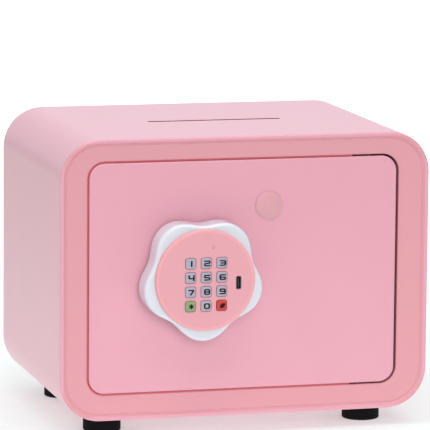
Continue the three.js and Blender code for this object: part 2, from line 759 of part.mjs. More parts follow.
// Keys: a cap in its window, a flange that keeps it in and a stem that meets the board
function key() {
  const flangeFront = housingInside + fit;
  const flangeBack = flangeFront + keyFlangeThickness;
  const flangeSize = keySize + 2 * fit + 2 * keyFlange;
  const cap = loft([squareRing(keySize, keyCorner, 0, flangeFront + keyFlangeThickness / 2),
    ...roundedEdge(keyEdge, keyFront, 1).map(([inset, y]) => squareRing(keySize, keyCorner, inset, y))]);
  const flange = loft([squareRing(flangeSize, keyCorner, 0, flangeBack, 1),
    squareRing(flangeSize, keyCorner, 0, flangeFront, 1)]);
  const stem = rodY(keyStem, flangeBack - keyFlangeThickness / 2, boardFront - keyTravel - fit, 0, 0, tiny);
  return join(flange, cap, stem);
}
for (const { name, x, z } of keypad) {
  const material = greyPlastic();
  if (name === 'star') material.color.set(0x9ccb8a);
  if (name === 'hash') material.color.set(0xd8484c);
  piece(knob, `key_${name}`, key(), material, [x, 0, z]);
}

// Spare key lock: a flanged barrel behind the plate
function lockBarrel() {
  const outer = barrelDiameter / 2;
  const bore = plugDiameter / 2 + fit;
  const flange = barrelFlange / 2;
  const seat = panFront;
  const rear = seat + barrelFlangeThickness;
  return turnedY([[outer, barrelBack], [outer, rear], [flange, rear], [flange, seat],
    [outer, seat], [outer, barrelSink], [bore, barrelSink], [bore, barrelBack],
    [outer, barrelBack]], small);
}
piece(keyLock, 'lock_barrel', lockBarrel(), steel());

// Plug that the key turns, with a keyway in front and a square behind for the flag
function lockPlug() {
  const face = barrelSink + fit;
  const square = flagSquare / 2;
  return cut(
    join(rodY(plugDiameter, face, flagFront - fit),
      block(-square, square, flagFront - sheet, flagBack, -square, square)),
    block(-keywayWidth / 2, keywayWidth / 2, face - sheet, face + keywayDepth,
      -keywayHeight / 2, keywayHeight / 2),
  );
}
piece(keyLock, 'lock_plug', lockPlug(), brass());

// Flag on the plug, which lifts the plunger at the end of the key's turn
function lockFlag() {
  const hole = flagSquare / 2 + fit;
  const angle = -Math.PI / 2 - radians(flagRest);
  return cut(plateY(teardrop(flagHub, flagTip, flagReach, angle), flagFront, flagBack, 7),
    block(-hole, hole, flagFront - sheet, flagBack + sheet, -hole, hole));
}
piece(keyLock, 'lock_flag', lockFlag(), steel());

// Keyhole cover: a low cap with a plug that sits in the plate's hole
function keyholeCover() {
  const radius = coverCapDiameter / 2;
  const stem = barrelDiameter / 2 - fit;
  const edge = roundedEdge(coverCapEdge, -fit - coverCapProud, 2).map(([inset, y]) => [radius - inset, y]);
  return turnedY([[0, barrelSink - fit], [stem, barrelSink - fit], [stem, -fit], [radius, -fit], ...edge,
    [0, -fit - coverCapProud]]);
}
piece(keyLock, 'keyhole_cover', keyholeCover(), pinkPlastic());

// Solenoid: a coil in an open sheet frame, hung from the top wall of the pan
const solenoidTop = panTop - sheet - fit;
const solenoidBottom = solenoidTop - solenoidHeight;
function solenoid() {
  const side = solenoidWidth / 2;
  const deep = solenoidDepth / 2;
  const frame = cut(block(-side, side, -deep, deep, solenoidBottom, solenoidTop),
    block(sheet - side, side - sheet, -deep - sheet, deep + sheet,
      solenoidBottom + sheet, solenoidTop - sheet));
  const coil = rodZ(solenoidCoil, solenoidBottom + sheet / 2, solenoidTop - sheet / 2);
  return cut(join(frame, coil),
    rodZ(plungerDiameter + 2 * slack, solenoidBottom - sheet, solenoidTop - sheet, 0, 0, small));
}
piece(door, 'solenoid', solenoid(), steel(), [plungerX, boltDepth, 0]);

// Plunger, with a collar above the flag's path and its foot just over the slide's land
const flagTop = lockZ - flagReach * Math.cos(radians(-flagRest)) + flagTip;
const collarBottom = flagTop + fit - plungerLift;
const collarTop = collarBottom + plungerCollarThickness;
const plungerFoot = knobZ + slideLand + fit;
piece(door, 'plunger', join(
  rodZ(plungerDiameter, plungerFoot, solenoidBottom + plungerEngage, 0, 0, small),
  rodZ(plungerCollar, collarBottom, collarTop, 0, 0, small),
), steel(), [plungerX, boltDepth, 0]);

// Return spring between the collar and the solenoid
function plungerSpring() {
  const low = collarTop + fit + springWire / 2;
  const high = solenoidBottom - fit - springWire / 2;
  const radius = (springDiameter - springWire) / 2;
  class Helix extends THREE.Curve {
    getPoint(t, target = new THREE.Vector3()) {
      const angle = 2 * Math.PI * springTurns * t;
      return target.set(radius * Math.cos(angle), radius * Math.sin(angle), low + (high - low) * t);
    }
  }
  const section = new THREE.Shape();
  const corners = 4;
  const wire = [];
  for (let corner = 0; corner < corners; corner++) {
    const angle = 2 * Math.PI * corner / corners;
    wire.push(new THREE.Vector2(Math.cos(angle), Math.sin(angle)).multiplyScalar(springWire / 2));
  }
  section.setFromPoints(wire);
  const options = { steps: tiny * springTurns, extrudePath: new Helix(), bevelEnabled: false };
  return new THREE.ExtrudeGeometry(section, options);
}
piece(door, 'plunger_spring', plungerSpring(), steel(), [plungerX, boltDepth, 0]);

// Battery box: a tray with saddles for the cells, behind an opening in the inner cover
const trayInsideWidth = cellCount * (cellDiameter + cellGap);
const trayInsideHeight = cellLength + cellNubHeight + 2 * cellEndRoom;
const trayRight = lipRight - slack;
const trayLeft = trayRight - trayInsideWidth - 2 * trayWall;
const trayBottom = lipBottom + slack;
const trayTop = trayBottom + trayInsideHeight + 2 * trayWall;
const trayMiddleX = (trayLeft + trayRight) / 2;
const trayMiddleZ = (trayBottom + trayTop) / 2;
const trayRim = coverFront - fit;
const cellDepth = trayRim - cellDiameter / 2 - 2 * slack;
const trayFloor = cellDepth - cellDiameter / 2 - fit;
const cellX = (index) => trayLeft + trayWall + (index + 1 / 2) * (cellDiameter + cellGap);

function batteryTray() {
  const cells = [...Array(cellCount).keys()];
  const outside = block(trayLeft, trayRight, trayFloor - trayWall, trayRim, trayBottom, trayTop);
  const room = block(trayLeft + trayWall, trayRight - trayWall, trayFloor + traySaddle, trayRim + sheet,
    trayBottom + trayWall, trayTop - trayWall);
  const saddles = cells.map((index) => rodZ(cellDiameter + 2 * fit, trayBottom + trayWall,
    trayTop - trayWall, cellX(index), cellDepth));
  return cut(outside, room, ...saddles);
}
piece(door, 'battery_tray', batteryTray(), blackPlastic());

function cell() {
  const radius = cellDiameter / 2;
  const nub = cellNub / 2;
  const foot = -(cellLength + cellNubHeight) / 2;
  const shoulder = foot + cellLength;
  return turnedZ([[0, foot], [radius, foot], [radius, shoulder], [nub, shoulder],
    [nub, shoulder + cellNubHeight], [0, shoulder + cellNubHeight]], small);
}
for (let index = 0; index < cellCount; index++) {
  const mesh = piece(door, `battery_${index + 1}`, cell(), finish(0x3c4048, 0.4, 0.5),
    [cellX(index), cellDepth, trayMiddleZ]);
  if (index % 2) mesh.rotateX(Math.PI);
}

// Circuit board of the lock, clear of the flag's swing and of the battery box, and the reset button
// that reaches through the cover
const circuitRight = lipRight;
const circuitLeft = lockX + flagReach + flagTip + slack;
const circuitTop = lipTop;
const circuitBottom = trayTop + circuitGap;
const circuitBack = coverFront - bossHeight - fit;
const resetX = (circuitLeft + circuitRight) / 2;
const resetZ = (circuitBottom + circuitTop) / 2;
piece(door, 'lock_board', block(circuitLeft, circuitRight, circuitBack - boardThickness, circuitBack,
  circuitBottom, circuitTop), circuit());

function resetButton() {
  const front = circuitBack + resetTravel + fit;
  const stem = resetDiameter / 2;
  const flange = resetFlange / 2;
  const seat = coverFront - fit;
  const top = coverBack + resetProud;
  const under = seat - resetFlangeThickness;
  return turnedY([[0, top], [stem, top], [stem, seat], [flange, seat], [flange, under], [stem, under],
    [stem, front], [0, front]], small);
}
piece(door, 'reset_button', resetButton(), finish(0xd8484c, 0.4), [resetX, 0, resetZ]);

// Inner cover over the pan, with bosses that carry the circuit board
const lidLeft = trayLeft + trayWall - lidOverlap;
const lidRight = trayRight - trayWall + lidOverlap;
const lidBottom = trayBottom + trayWall - lidOverlap;
const lidTop = trayTop - trayWall + lidOverlap;
function innerCover() {
  const outline = panOutline(0, panCorner);
  outline.holes.push(roundedRect(lidLeft - fit, lidRight + fit, lidBottom - fit, lidTop + fit,
    sheet, THREE.Path));
  const bosses = [];
  for (const x of [circuitLeft + bossInset, circuitRight - bossInset]) {
    for (const z of [circuitBottom + bossInset, circuitTop - bossInset]) {
      bosses.push(rodY(bossDiameter, coverFront - bossHeight, coverFront + coverThickness / 2, x, z, tiny));
    }
  }
  const through = (diameter, x, z) => rodY(diameter, coverFront - sheet, coverBack + sheet, x, z, tiny);
  return cut(join(plateY(outline, coverFront, coverBack, 3), ...bosses),
    through(resetDiameter + 2 * fit, resetX, resetZ),
    ...screwPlaces.map(([, x, z]) => through(coverScrewShank + 2 * fit, x, z)));
}
piece(door, 'inner_cover', innerCover(), whitePlastic());

// Battery lid in the cover, with ridges for the thumb
function batteryLid() {
  const plate = plateY(roundedRect(lidLeft, lidRight, lidBottom, lidTop, sheet), coverFront, coverBack, 3);
  const ridges = [];
  for (let index = 0; index < lidRidges; index++) {
    const z = lidTop - lidRidgePitch * (index + 2);
    ridges.push(block(trayMiddleX - lidRidgeLength / 2, trayMiddleX + lidRidgeLength / 2,
      coverBack - coverThickness / 2, coverBack + lidRidgeProud, z, z + lidRidgeThickness));
  }
  return join(plate, ...ridges);
}
piece(door, 'battery_lid', batteryLid(), whitePlastic());

// Screws that hold the cover to the pan's lip
function coverScrew() {
  const shank = coverScrewShank / 2;
  const head = coverScrewHead / 2;
  const seat = coverBack + fit;
  const top = seat + coverScrewHeadHeight;
  return turnedY([[0, top], [head / 2, top], [head, seat + coverScrewHeadHeight / 2], [head, seat],
    [shank, seat], [shank, coverFront - coverScrewLength], [0, coverFront - coverScrewLength]], tiny);
}
for (const [place, x, z] of screwPlaces) {
  piece(door, `cover_screw_${place}`, coverScrew(), steel(), [x, 0, z]);
}

export default safe;
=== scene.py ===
"""Looks of a toy safe coin bank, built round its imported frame.

Sizes are real millimetres and become metres when a mesh is made. +X is to the right seen from the
front, +Y to the back and +Z up. Places come from the boxes of the frame's nodes.
"""
import json
from math import cos, hypot, pi, radians, sin

import bmesh
import bpy
from mathutils import Matrix, Vector


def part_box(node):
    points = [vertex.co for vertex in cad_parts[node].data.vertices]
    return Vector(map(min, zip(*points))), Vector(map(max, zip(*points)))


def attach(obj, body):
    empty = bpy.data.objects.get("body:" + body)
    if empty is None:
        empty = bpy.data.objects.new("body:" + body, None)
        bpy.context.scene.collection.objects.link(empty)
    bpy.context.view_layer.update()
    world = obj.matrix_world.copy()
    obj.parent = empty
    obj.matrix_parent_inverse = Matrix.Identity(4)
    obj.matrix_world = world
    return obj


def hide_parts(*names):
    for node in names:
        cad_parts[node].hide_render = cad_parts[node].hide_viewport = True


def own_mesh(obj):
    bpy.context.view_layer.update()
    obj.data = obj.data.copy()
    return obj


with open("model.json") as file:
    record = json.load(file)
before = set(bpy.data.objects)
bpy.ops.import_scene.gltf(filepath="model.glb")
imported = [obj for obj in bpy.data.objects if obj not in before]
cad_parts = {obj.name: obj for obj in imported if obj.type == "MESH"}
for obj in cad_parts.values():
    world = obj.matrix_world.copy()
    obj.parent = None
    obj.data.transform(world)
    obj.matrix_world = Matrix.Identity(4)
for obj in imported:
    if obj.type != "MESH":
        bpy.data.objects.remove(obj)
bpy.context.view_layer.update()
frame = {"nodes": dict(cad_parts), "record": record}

MM = 0.001
FIT = 0.3  # gap that neighbouring pieces keep
SHEET = 1.5  # steel sheet of the body and the pan
PAST = 1  # how far a cutter reaches past a face, and a stud into a plate
SAME_POINT, SAME_FRAME_POINT = 1e-7, 1e-6  # points this near, in metres, are merged


def box(node):
    low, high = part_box(node)
    return Vector(low) / MM, Vector(high) / MM


def middle(node):
    low, high = box(node)
    return (low + high) / 2


# Places of the main pieces
BODY_LOW, BODY_HIGH = box("body_shell")
LEFT, CREST, BOTTOM = BODY_LOW
RIGHT, BACK, TOP = BODY_HIGH
DOOR_LOW, DOOR_HIGH = box("door_plate")
FACE = DOOR_LOW.y
WHEEL_FRONT = box("petal_wheel")[0].y
CAP_LOW, CAP_HIGH = box("keypad_housing")
KNOB = middle("spindle")
LOCK = middle("lock_barrel")
SOCKET_LOW, SOCKET_HIGH = box("usb_port")
SOCKET_SIDES = (SOCKET_LOW.x, SOCKET_HIGH.x, SOCKET_LOW.z, SOCKET_HIGH.z)
SOCKET = middle("usb_port")
FEET = ("front_left", "front_right", "rear_left", "rear_right")

# Sides of an outline seen from the front are left, right, bottom and top

# Body skin
BODY_SIDES = (LEFT, RIGHT, BOTTOM, TOP)
BODY_CORNER = 25
LIP = 1.3  # outside radius of the rolled lip
LIP_END = 4.6  # where the lip's inner slope meets the frame, from the side
RING_START = LIP + 1  # where the frame's paint starts, from the side
FRAME_RECESS = 1.2
FRAME_DISH = 0.4  # rise of the frame at the lip and its fall at the doorway
SEAM_DEPTH, SEAM_START = 0.6, 0.3  # groove at the foot of the lip, from this share of its slope
FRAME_DEPTH = 14
FRAME_EDGE = 0.8
DOORWAY_CORNER = 10.5
GAP_LATCH, GAP_HINGE, GAP_RAIL = 1.0, 1.6, 1.0
DOORWAY_SIDES = (DOOR_LOW.x - GAP_LATCH, DOOR_HIGH.x + GAP_HINGE,
                 DOOR_LOW.z - GAP_RAIL, DOOR_HIGH.z + GAP_RAIL)
SHEET_EDGE = 0.3
SLOT_LENGTH, SLOT_WIDTH, SLOT_CORNER, SLOT_EDGE = 85, 5, 2, 0.5
SLOT_Y = CREST + 77
SLOT_SHADE_START = 0.4  # painted shade on the slot's walls starts this far below the top
HINGE_PIN, FOOT_SCREW = 4, 3.4  # diameters
PANEL_RECESS, PANEL_FLANGE, PANEL_BEND = 1.2, 9, 2.4

# Feet and their screws, which have pan heads with a cross recess
FOOT_CHAMFER, FOOT_FLAT = 0.9, 1
FOOT_WAIST, WAIST_START, WAIST_END = 0.25, 1.2, 0.6  # its depth, and its ends from the foot's top
SCREW_HOLE, SCREW_SINK, SINK_EDGE = 9.2, 4, 0.4
SCREW_HEAD, HEAD_DOME = 2.2, 0.6  # height, and the share of it that is domed
FOOT_RECESS = {"reach": 2.2, "width": 0.7}
FOOT_RECESS_DEPTH = 1.1

# Door
DOOR_SIDES = (DOOR_LOW.x, DOOR_HIGH.x, DOOR_LOW.z, DOOR_HIGH.z)
DOOR_THICKNESS = 3
BACK_EDGE = 0.3  # chamfer at the back of the plate, the keypad cap and the keyhole cover
DOOR_EDGE = 0.9
SPINDLE_HOLE = 12.6
LOCK_HOLE = 13.0
COVER_CROWN, COVER_EDGE = 1.1, 0.2  # rise of the keyhole cover's crown, and its edge
COVER_STEM, COVER_STEPS = 5.9, 12  # radius of its stem, and steps of the crown
STUD_DIAMETER, STUD_INSET, STUD_RISE = 6, 28, 16  # places from the knob's axis
GAP_STRIP_SUNK = 1.2  # door face to the strip in the gap round it
GAP_STRIP_SHARE = 0.75  # how much of the latch gap the strip fills
GAP_STRIP_END = 28  # where the strip ends, from the door's hinge edge

# Grip and keypad
PETALS, PETAL_MEAN, PETAL_WAVE, PETAL_FULLNESS = 5, 35.1, 2.65, 0.2
WHEEL_EDGE, WHEEL_BACK_EDGE = 2.5, 0.8
WHEEL_WALL, WHEEL_HOLLOW, WHEEL_RECESS = 2.2, 9.2, 4.5
KNOB_GAP = 2  # door face to the back of the wheel
KNOB_FLOAT = 0.4
HUB_DIAMETER = 30
RIB_THICKNESS = 1.4
SPINDLE_DIAMETER, SPINDLE_BORE, SPINDLE_WEB = 12, 6, 2  # the web is left above the spindle's end
SPIGOT_DIAMETER = 58
CAP_EDGE = 0.8
CAP_WALL = 1.8
CAP_RIM, CAP_DISH = 1.7, 0.2  # raised rim round the cap's face
# painted highlight: the cap's rim is coloured brighter, as where its edge catches the light
RIM_HIGHLIGHT_FADE, RIM_HIGHLIGHT_COLOR = 0.8, (0.79, 0.35, 0.378)
KEY_SIZE, KEY_CORNER, KEY_EDGE = 6.4, 1.3, 1.0
KEY_STEM, STEM_CORNER, KEY_FLANGE = 3, 1.4, 1
WINDOW_GAP, WINDOW_EDGE = 0.16, 0.2
GLYPH_WIDTH, GLYPH_HEIGHT = 4.1, 3.55
DIGIT_STROKE, SIGN_STROKE = (1.04, 0.78), (0.74, 0.74)  # widths of upright and of level strokes
INK_OFFSET = 0.4
INK_PROUD, INK_SUNK, INK_STEP = 0.03, 0.06, 0.006
LIGHT_X, LIGHT_Z, LIGHT_DIAMETER = 4.5, 20.0, 1.8
LENS_GAP, LENS_SUNK, LENS_DOME = 0.1, 0.15, 0.2
SOCKET_CORNER, SOCKET_WALL, SOCKET_LIP, SOCKET_BASE = 0.8, 0.3, 0.1, 1.2
TONGUE_THICKNESS, TONGUE_LENGTH, TONGUE_CORNER, TONGUE_SINK = 0.9, 5.4, 0.2, 0.8

# Camera, fitted to the outline in the photograph
CAMERA_PLACE = (-0.60358, -2.19885, 0.47358)
CAMERA_YAW, CAMERA_PITCH, CAMERA_ROLL = 15.334, 8.745, 0.49
CAMERA_LENS, CAMERA_SENSOR = 311.77, 36


def make_camera():
    yaw, pitch, roll = (radians(a) for a in (CAMERA_YAW, CAMERA_PITCH, CAMERA_ROLL))
    ahead = Vector((sin(yaw) * cos(pitch), cos(yaw) * cos(pitch), -sin(pitch)))
    level = Vector((cos(yaw), -sin(yaw), 0))
    up = level.cross(ahead)
    side = level * cos(roll) + up * sin(roll)
    top = up * cos(roll) - level * sin(roll)
    data = bpy.data.cameras.new("camera")
    data.lens = CAMERA_LENS
    data.sensor_width = CAMERA_SENSOR
    data.clip_end = 100
    camera = bpy.data.objects.new("camera", data)
    turn = Matrix((side, top, -ahead)).transposed().to_4x4()
    camera.matrix_world = Matrix.Translation(CAMERA_PLACE) @ turn
    bpy.context.scene.collection.objects.link(camera)
    bpy.context.scene.camera = camera


make_camera()


# Finishes

def link(tree, source, out, target, into):
    tree.links.new(source.outputs[out], target.inputs[into])


def fed(node, values):
    """The node, with values put on its inputs."""
    for name, value in values.items():
        node.inputs[name].default_value = value
    return node


def added(tree, kind, values=None, **settings):
    """A new node with its settings and values."""
    node = tree.nodes.new(kind)
    for name, setting in settings.items():
        setattr(node, name, setting)
    return fed(node, values or {})


def noise(tree, size, detail=2.0):
    """A noise texture in the piece's own space, with features of about that size in mm."""
    texture = added(tree, "ShaderNodeTexNoise", {"Scale": 1 / (size * MM), "Detail": detail})
    link(tree, added(tree, "ShaderNodeTexCoord"), "Object", texture, "Vector")
    return texture


def tinted(color, factor):
    return tuple(min(1.0, channel * factor) for channel in color) + (1.0,)


SOCKET_NAMES = {"specular_ior_level": "Specular IOR Level"}


def finish(name, color, rough, cloud=40, tint=0.02, grain=0.8, relief=0.01, spread=0.04, **sockets):
    """A finish with faint colour clouds, uneven gloss and a fine surface grain, all sizes in mm."""
    material = bpy.data.materials.new(name)
    material.use_nodes = True
    tree = material.node_tree
    shader = fed(tree.nodes["Principled BSDF"], {
        SOCKET_NAMES.get(socket, socket.replace("_", " ").title()): value
        for socket, value in sockets.items()})
    mix = added(tree, "ShaderNodeMix", {"A": tinted(color, 1 - tint), "B": tinted(color, 1 + tint)},
                data_type="RGBA")
    link(tree, noise(tree, cloud), "Fac", mix, "Factor")
    link(tree, mix, "Result", shader, "Base Color")
    gloss = added(tree, "ShaderNodeMapRange", {"To Min": rough - spread, "To Max": rough + spread})
    fine = noise(tree, grain, 3.0)
    link(tree, fine, "Fac", gloss, "Value")
    link(tree, gloss, "Result", shader, "Roughness")
    bump = added(tree, "ShaderNodeBump", {"Strength": 1.0, "Distance": relief * MM})
    link(tree, fine, "Fac", bump, "Height")
    link(tree, bump, "Normal", shader, "Normal")
    return material


FINISHES = {
    "pink_paint": finish("pink_paint", (0.71, 0.327, 0.404), 0.36, grain=1.3, relief=0.045,
                         coat_weight=0.5, coat_roughness=0.3),
    "pink_plastic": finish("pink_plastic", (0.80, 0.38, 0.43), 0.38, grain=0.5, relief=0.004),
    "white_plastic": finish("white_plastic", (0.64, 0.672, 0.735), 0.16, grain=2.5, relief=0.004, tint=0.01,
                            coat_weight=0.4),
    "grey_key": finish("grey_key", (0.37, 0.355, 0.43), 0.45, grain=0.4, relief=0.006),
    "green_key": finish("green_key", (0.23, 0.32, 0.16), 0.45, grain=0.4, relief=0.006),
    "red_key": finish("red_key", (0.52, 0.038, 0.030), 0.45, grain=0.4, relief=0.006),
    "black_plastic": finish("black_plastic", (0.02, 0.02, 0.022), 0.5, grain=0.6, relief=0.01),
    "black_rubber": finish("black_rubber", (0.006, 0.006, 0.007), 0.85, grain=0.5, relief=0.02,
                           specular_ior_level=0.12),
    "steel": finish("steel", (0.55, 0.56, 0.58), 0.32, grain=0.3, relief=0.004, metallic=1.0),
    "brass": finish("brass", (0.62, 0.42, 0.14), 0.35, grain=0.3, relief=0.004, metallic=1.0),
    "circuit_green": finish("circuit_green", (0.02, 0.16, 0.06), 0.35, grain=0.8, relief=0.01),
    "felt": finish("felt", (0.35, 0.35, 0.38), 0.95, cloud=6, tint=0.12, grain=0.35, relief=0.25,
                   sheen_weight=0.4),
    "cell_wrap": finish("cell_wrap", (0.06, 0.07, 0.09), 0.3, grain=0.6, relief=0.004, metallic=0.4),
}


def cap_finish_with_rim_highlight():
    """The keypad cap's plastic, whose raised rim is painted a little brighter than its face: a painted
    highlight.
    """
    material = finish("cap_plastic", (0.714, 0.334, 0.381), 0.42, grain=0.5, relief=0.004)
    tree = material.node_tree
    shader = tree.nodes["Principled BSDF"]
    face = shader.inputs["Base Color"].links[0].from_socket
    offset = added(tree, "ShaderNodeVectorMath", {1: (KNOB.x * MM, 0, KNOB.z * MM)}, operation="SUBTRACT")
    link(tree, added(tree, "ShaderNodeTexCoord"), "Object", offset, 0)
    flat = added(tree, "ShaderNodeVectorMath", {1: (1, 0, 1)}, operation="MULTIPLY")
    link(tree, offset, "Vector", flat, 0)
    radius = added(tree, "ShaderNodeVectorMath", operation="LENGTH")
    link(tree, flat, "Vector", radius, 0)
    edge = (CAP_HIGH.x - CAP_LOW.x) / 2 - CAP_RIM
    mask = added(tree, "ShaderNodeMapRange", {"From Min": (edge - RIM_HIGHLIGHT_FADE) * MM, "From Max": edge * MM})
    link(tree, radius, "Value", mask, "Value")
    # a brighter colour on the rim, a painted highlight
    mix = added(tree, "ShaderNodeMix", {"B": (*RIM_HIGHLIGHT_COLOR, 1)}, data_type="RGBA")
    tree.links.new(face, mix.inputs["A"])
    link(tree, mask, "Result", mix, "Factor")
    link(tree, mix, "Result", shader, "Base Color")
    return material


CAP_FINISH = cap_finish_with_rim_highlight()
RING_FINISH = finish("ring_paint", (0.68, 0.296, 0.34), 0.42, grain=1.2, relief=0.09, coat_weight=0.3,
                     coat_roughness=0.35)
# painted shade: the deep red that light bounced inside the door's gap gives
GAP_SHADE_FINISH = finish("gap_painted_shade", (0.60, 0.10, 0.12), 0.5, grain=0.9, relief=0.01)
# painted shade: the slot's walls are coloured dark, as if in shadow
SLOT_SHADE_FINISH = finish("slot_painted_shade", (0.10, 0.035, 0.045), 0.7, grain=0.9, relief=0.01, specular_ior_level=0.1)
INK_FINISH = finish("key_ink", (0.008, 0.008, 0.010), 0.7, grain=0.3, relief=0.002, specular_ior_level=0.1)
# painted shade: this steel is darkened as if in the shadow inside the socket
DARKENED_STEEL_FINISH = finish("darkened_steel", (0.16, 0.15, 0.16), 0.4, grain=0.3, relief=0.002, metallic=1.0)
COVER_FINISH = finish("cover_plastic", (0.66, 0.325, 0.37), 0.28, grain=0.5, relief=0.004)
LENS_FINISH = finish("lens_plastic", (0.62, 0.35, 0.43), 0.35, grain=0.5, relief=0.002)
BAND_FINISH = finish("cell_band", (0.62, 0.34, 0.13), 0.3, grain=0.6, relief=0.004, metallic=0.7)
COPPER_FINISH = finish("copper_wire", (0.55, 0.20, 0.08), 0.3, grain=0.3, relief=0.004, metallic=1.0)


# Mesh building, in millimetres; a support is how far a flat ring stands off from a rounded edge

def ring(sides, corner, y, inset=0, steps=14):
    """Points of a rounded rectangle at depth y, drawn in by an inset, anticlockwise seen from the front."""
    left, right, bottom, top = sides
    radius = corner - inset
    centres = ((right - corner, top - corner), (left + corner, top - corner),
               (left + corner, bottom + corner), (right - corner, bottom + corner))
    points = []
    for index, (x, z) in enumerate(centres):
        for step in range(steps + 1):
            angle = (index + step / steps) * pi / 2
            points.append((x + radius * cos(angle), y, z + radius * sin(angle)))
    return points


def laid(points):
    """The same points turned from X and Z into X and Y, with depth as height."""
    return [(x, z, y) for x, y, z in points]


def quarter(steps):
    """The angles of a quarter turn in even steps."""
    return [step / steps * pi / 2 for step in range(steps + 1)]


def round_edge(radius, steps=6):
    """(inward, back) steps of a rounded edge, from the side to the face."""
    return [(radius * (1 - cos(turn)), radius * (1 - sin(turn))) for turn in quarter(steps)]


def rounded(radius, end, edge, steps=6, into=-1):
    """Profile points of a rounded edge, from the side to an end from which the piece goes up or down."""
    return [(radius - inward, end + into * back) for inward, back in round_edge(edge, steps)]


def solid(name, rings, joined=False):
    """A piece with a closed mesh through rings of equally many points; its ends are flat, or join up."""
    count = len(rings[0])
    points = [Vector(point) * MM for each in rings for point in each]
    faces = []
    for i in range(len(rings) - (0 if joined else 1)):
        a, b = i * count, (i + 1) % len(rings) * count
        faces += [(a + j, a + (j + 1) % count, b + (j + 1) % count, b + j) for j in range(count)]
    if not joined:
        last = (len(rings) - 1) * count
        faces += [list(range(count)), [last + j for j in reversed(range(count))]]
    mesh = bpy.data.meshes.new(name)
    mesh.from_pydata(points, [], faces)
    work = bmesh.new()
    work.from_mesh(mesh)
    bmesh.ops.remove_doubles(work, verts=work.verts, dist=SAME_POINT)
    bmesh.ops.recalc_face_normals(work, faces=work.faces)
    work.to_mesh(mesh)
    work.free()
    thing = bpy.data.objects.new(name, mesh)
    bpy.context.scene.collection.objects.link(thing)
    return thing


def block(low, high):
    """A box between two corners."""
    low, high = Vector(low), Vector(high)
    return solid("block", [[(low.x, y, low.z), (high.x, y, low.z), (high.x, y, high.z), (low.x, y, high.z)]
                           for y in (low.y, high.y)])


def turned(name, profile, place, axis="Y", sides=96, joined=False):
    """A round piece from (radius, along) points in order, about an axis through a place."""
    rings = []
    for radius, along in profile:
        each = []
        for side in range(sides):
            a, b = radius * cos(2 * pi * side / sides), radius * sin(2 * pi * side / sides)
            offset = {"X": (along, a, b), "Y": (a, along, b), "Z": (a, b, along)}[axis]
            each.append(Vector(place) + Vector(offset))
        rings.append(each)
    return solid(name, rings, joined)


def rod(diameter, start, end, place, axis="Y", sides=64):
    radius = diameter / 2
    return turned("rod", [(radius, start), (radius, end)], place, axis, sides)


def baked(thing):
    """Replaces a piece's mesh with what its modifiers make of it."""
    graph = bpy.context.evaluated_depsgraph_get()
    mesh = bpy.data.meshes.new_from_object(thing.evaluated_get(graph))
    thing.modifiers.clear()
    thing.data = mesh
    return thing


def merged(tools, name="merged"):
    """One object from several that don't overlap."""
    first, *rest = tools
    first.name = name
    if rest:
        work = bmesh.new()
        for tool in tools:
            work.from_mesh(tool.data)
        work.to_mesh(first.data)
        work.free()
        for tool in rest:
            bpy.data.objects.remove(tool)
    return first


def carved(thing, *tools, how="DIFFERENCE"):
    """The piece with the tools cut out of it, or joined to it."""
    tool = merged(tools)
    carve = thing.modifiers.new("carve", "BOOLEAN")
    carve.operation = how
    carve.solver = "EXACT"
    carve.object = tool
    baked(thing)
    bpy.data.objects.remove(tool)
    return thing


def dressed(thing, slot, body, *nodes, angle=35, look=None):
    """Shades a finished piece, gives it its slot's finish or a look of its own, and sets it on a body."""
    thing.data.materials.clear()
    thing.data.materials.append(look or FINISHES[slot])
    thing.data.shade_smooth()
    thing.data.set_sharp_from_angle(angle=radians(angle))
    even = thing.modifiers.new("even_shading", "WEIGHTED_NORMAL")
    even.weight = 100
    even.keep_sharp = True
    baked(thing)
    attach(thing, body)
    if nodes:
        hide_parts(*nodes)
    return thing


BODY_OF = {node: body for body, nodes in frame["record"]["behaviour"]["bodies"].items() for node in nodes}
SLOT_OF = {part["node"]: part["material_slot"] for part in frame["record"]["subparts"]}


def eased(thing, edge, segments=2, angle=40):
    """The same piece with its edges rounded."""
    bevel = thing.modifiers.new("edges", "BEVEL")
    bevel.width = edge * MM
    bevel.segments = segments
    bevel.limit_method = "ANGLE"
    bevel.angle_limit = radians(angle)
    return baked(thing)


def softened(node, edge):
    """A copy of a frame node with its flat faces merged and its edges rounded, in that node's place."""
    thing = bpy.data.objects.new(node + "_finished", frame["nodes"][node].data.copy())
    bpy.context.scene.collection.objects.link(thing)
    work = bmesh.new()
    work.from_mesh(thing.data)
    bmesh.ops.remove_doubles(work, verts=work.verts, dist=SAME_FRAME_POINT)
    bmesh.ops.dissolve_limit(work, angle_limit=radians(1), verts=work.verts, edges=work.edges)
    work.to_mesh(thing.data)
    work.free()
    return dressed(eased(thing, edge), SLOT_OF[node], BODY_OF[node], node)


# The body: one skin from the rear edge over the rolled lip to the doorway and back inside

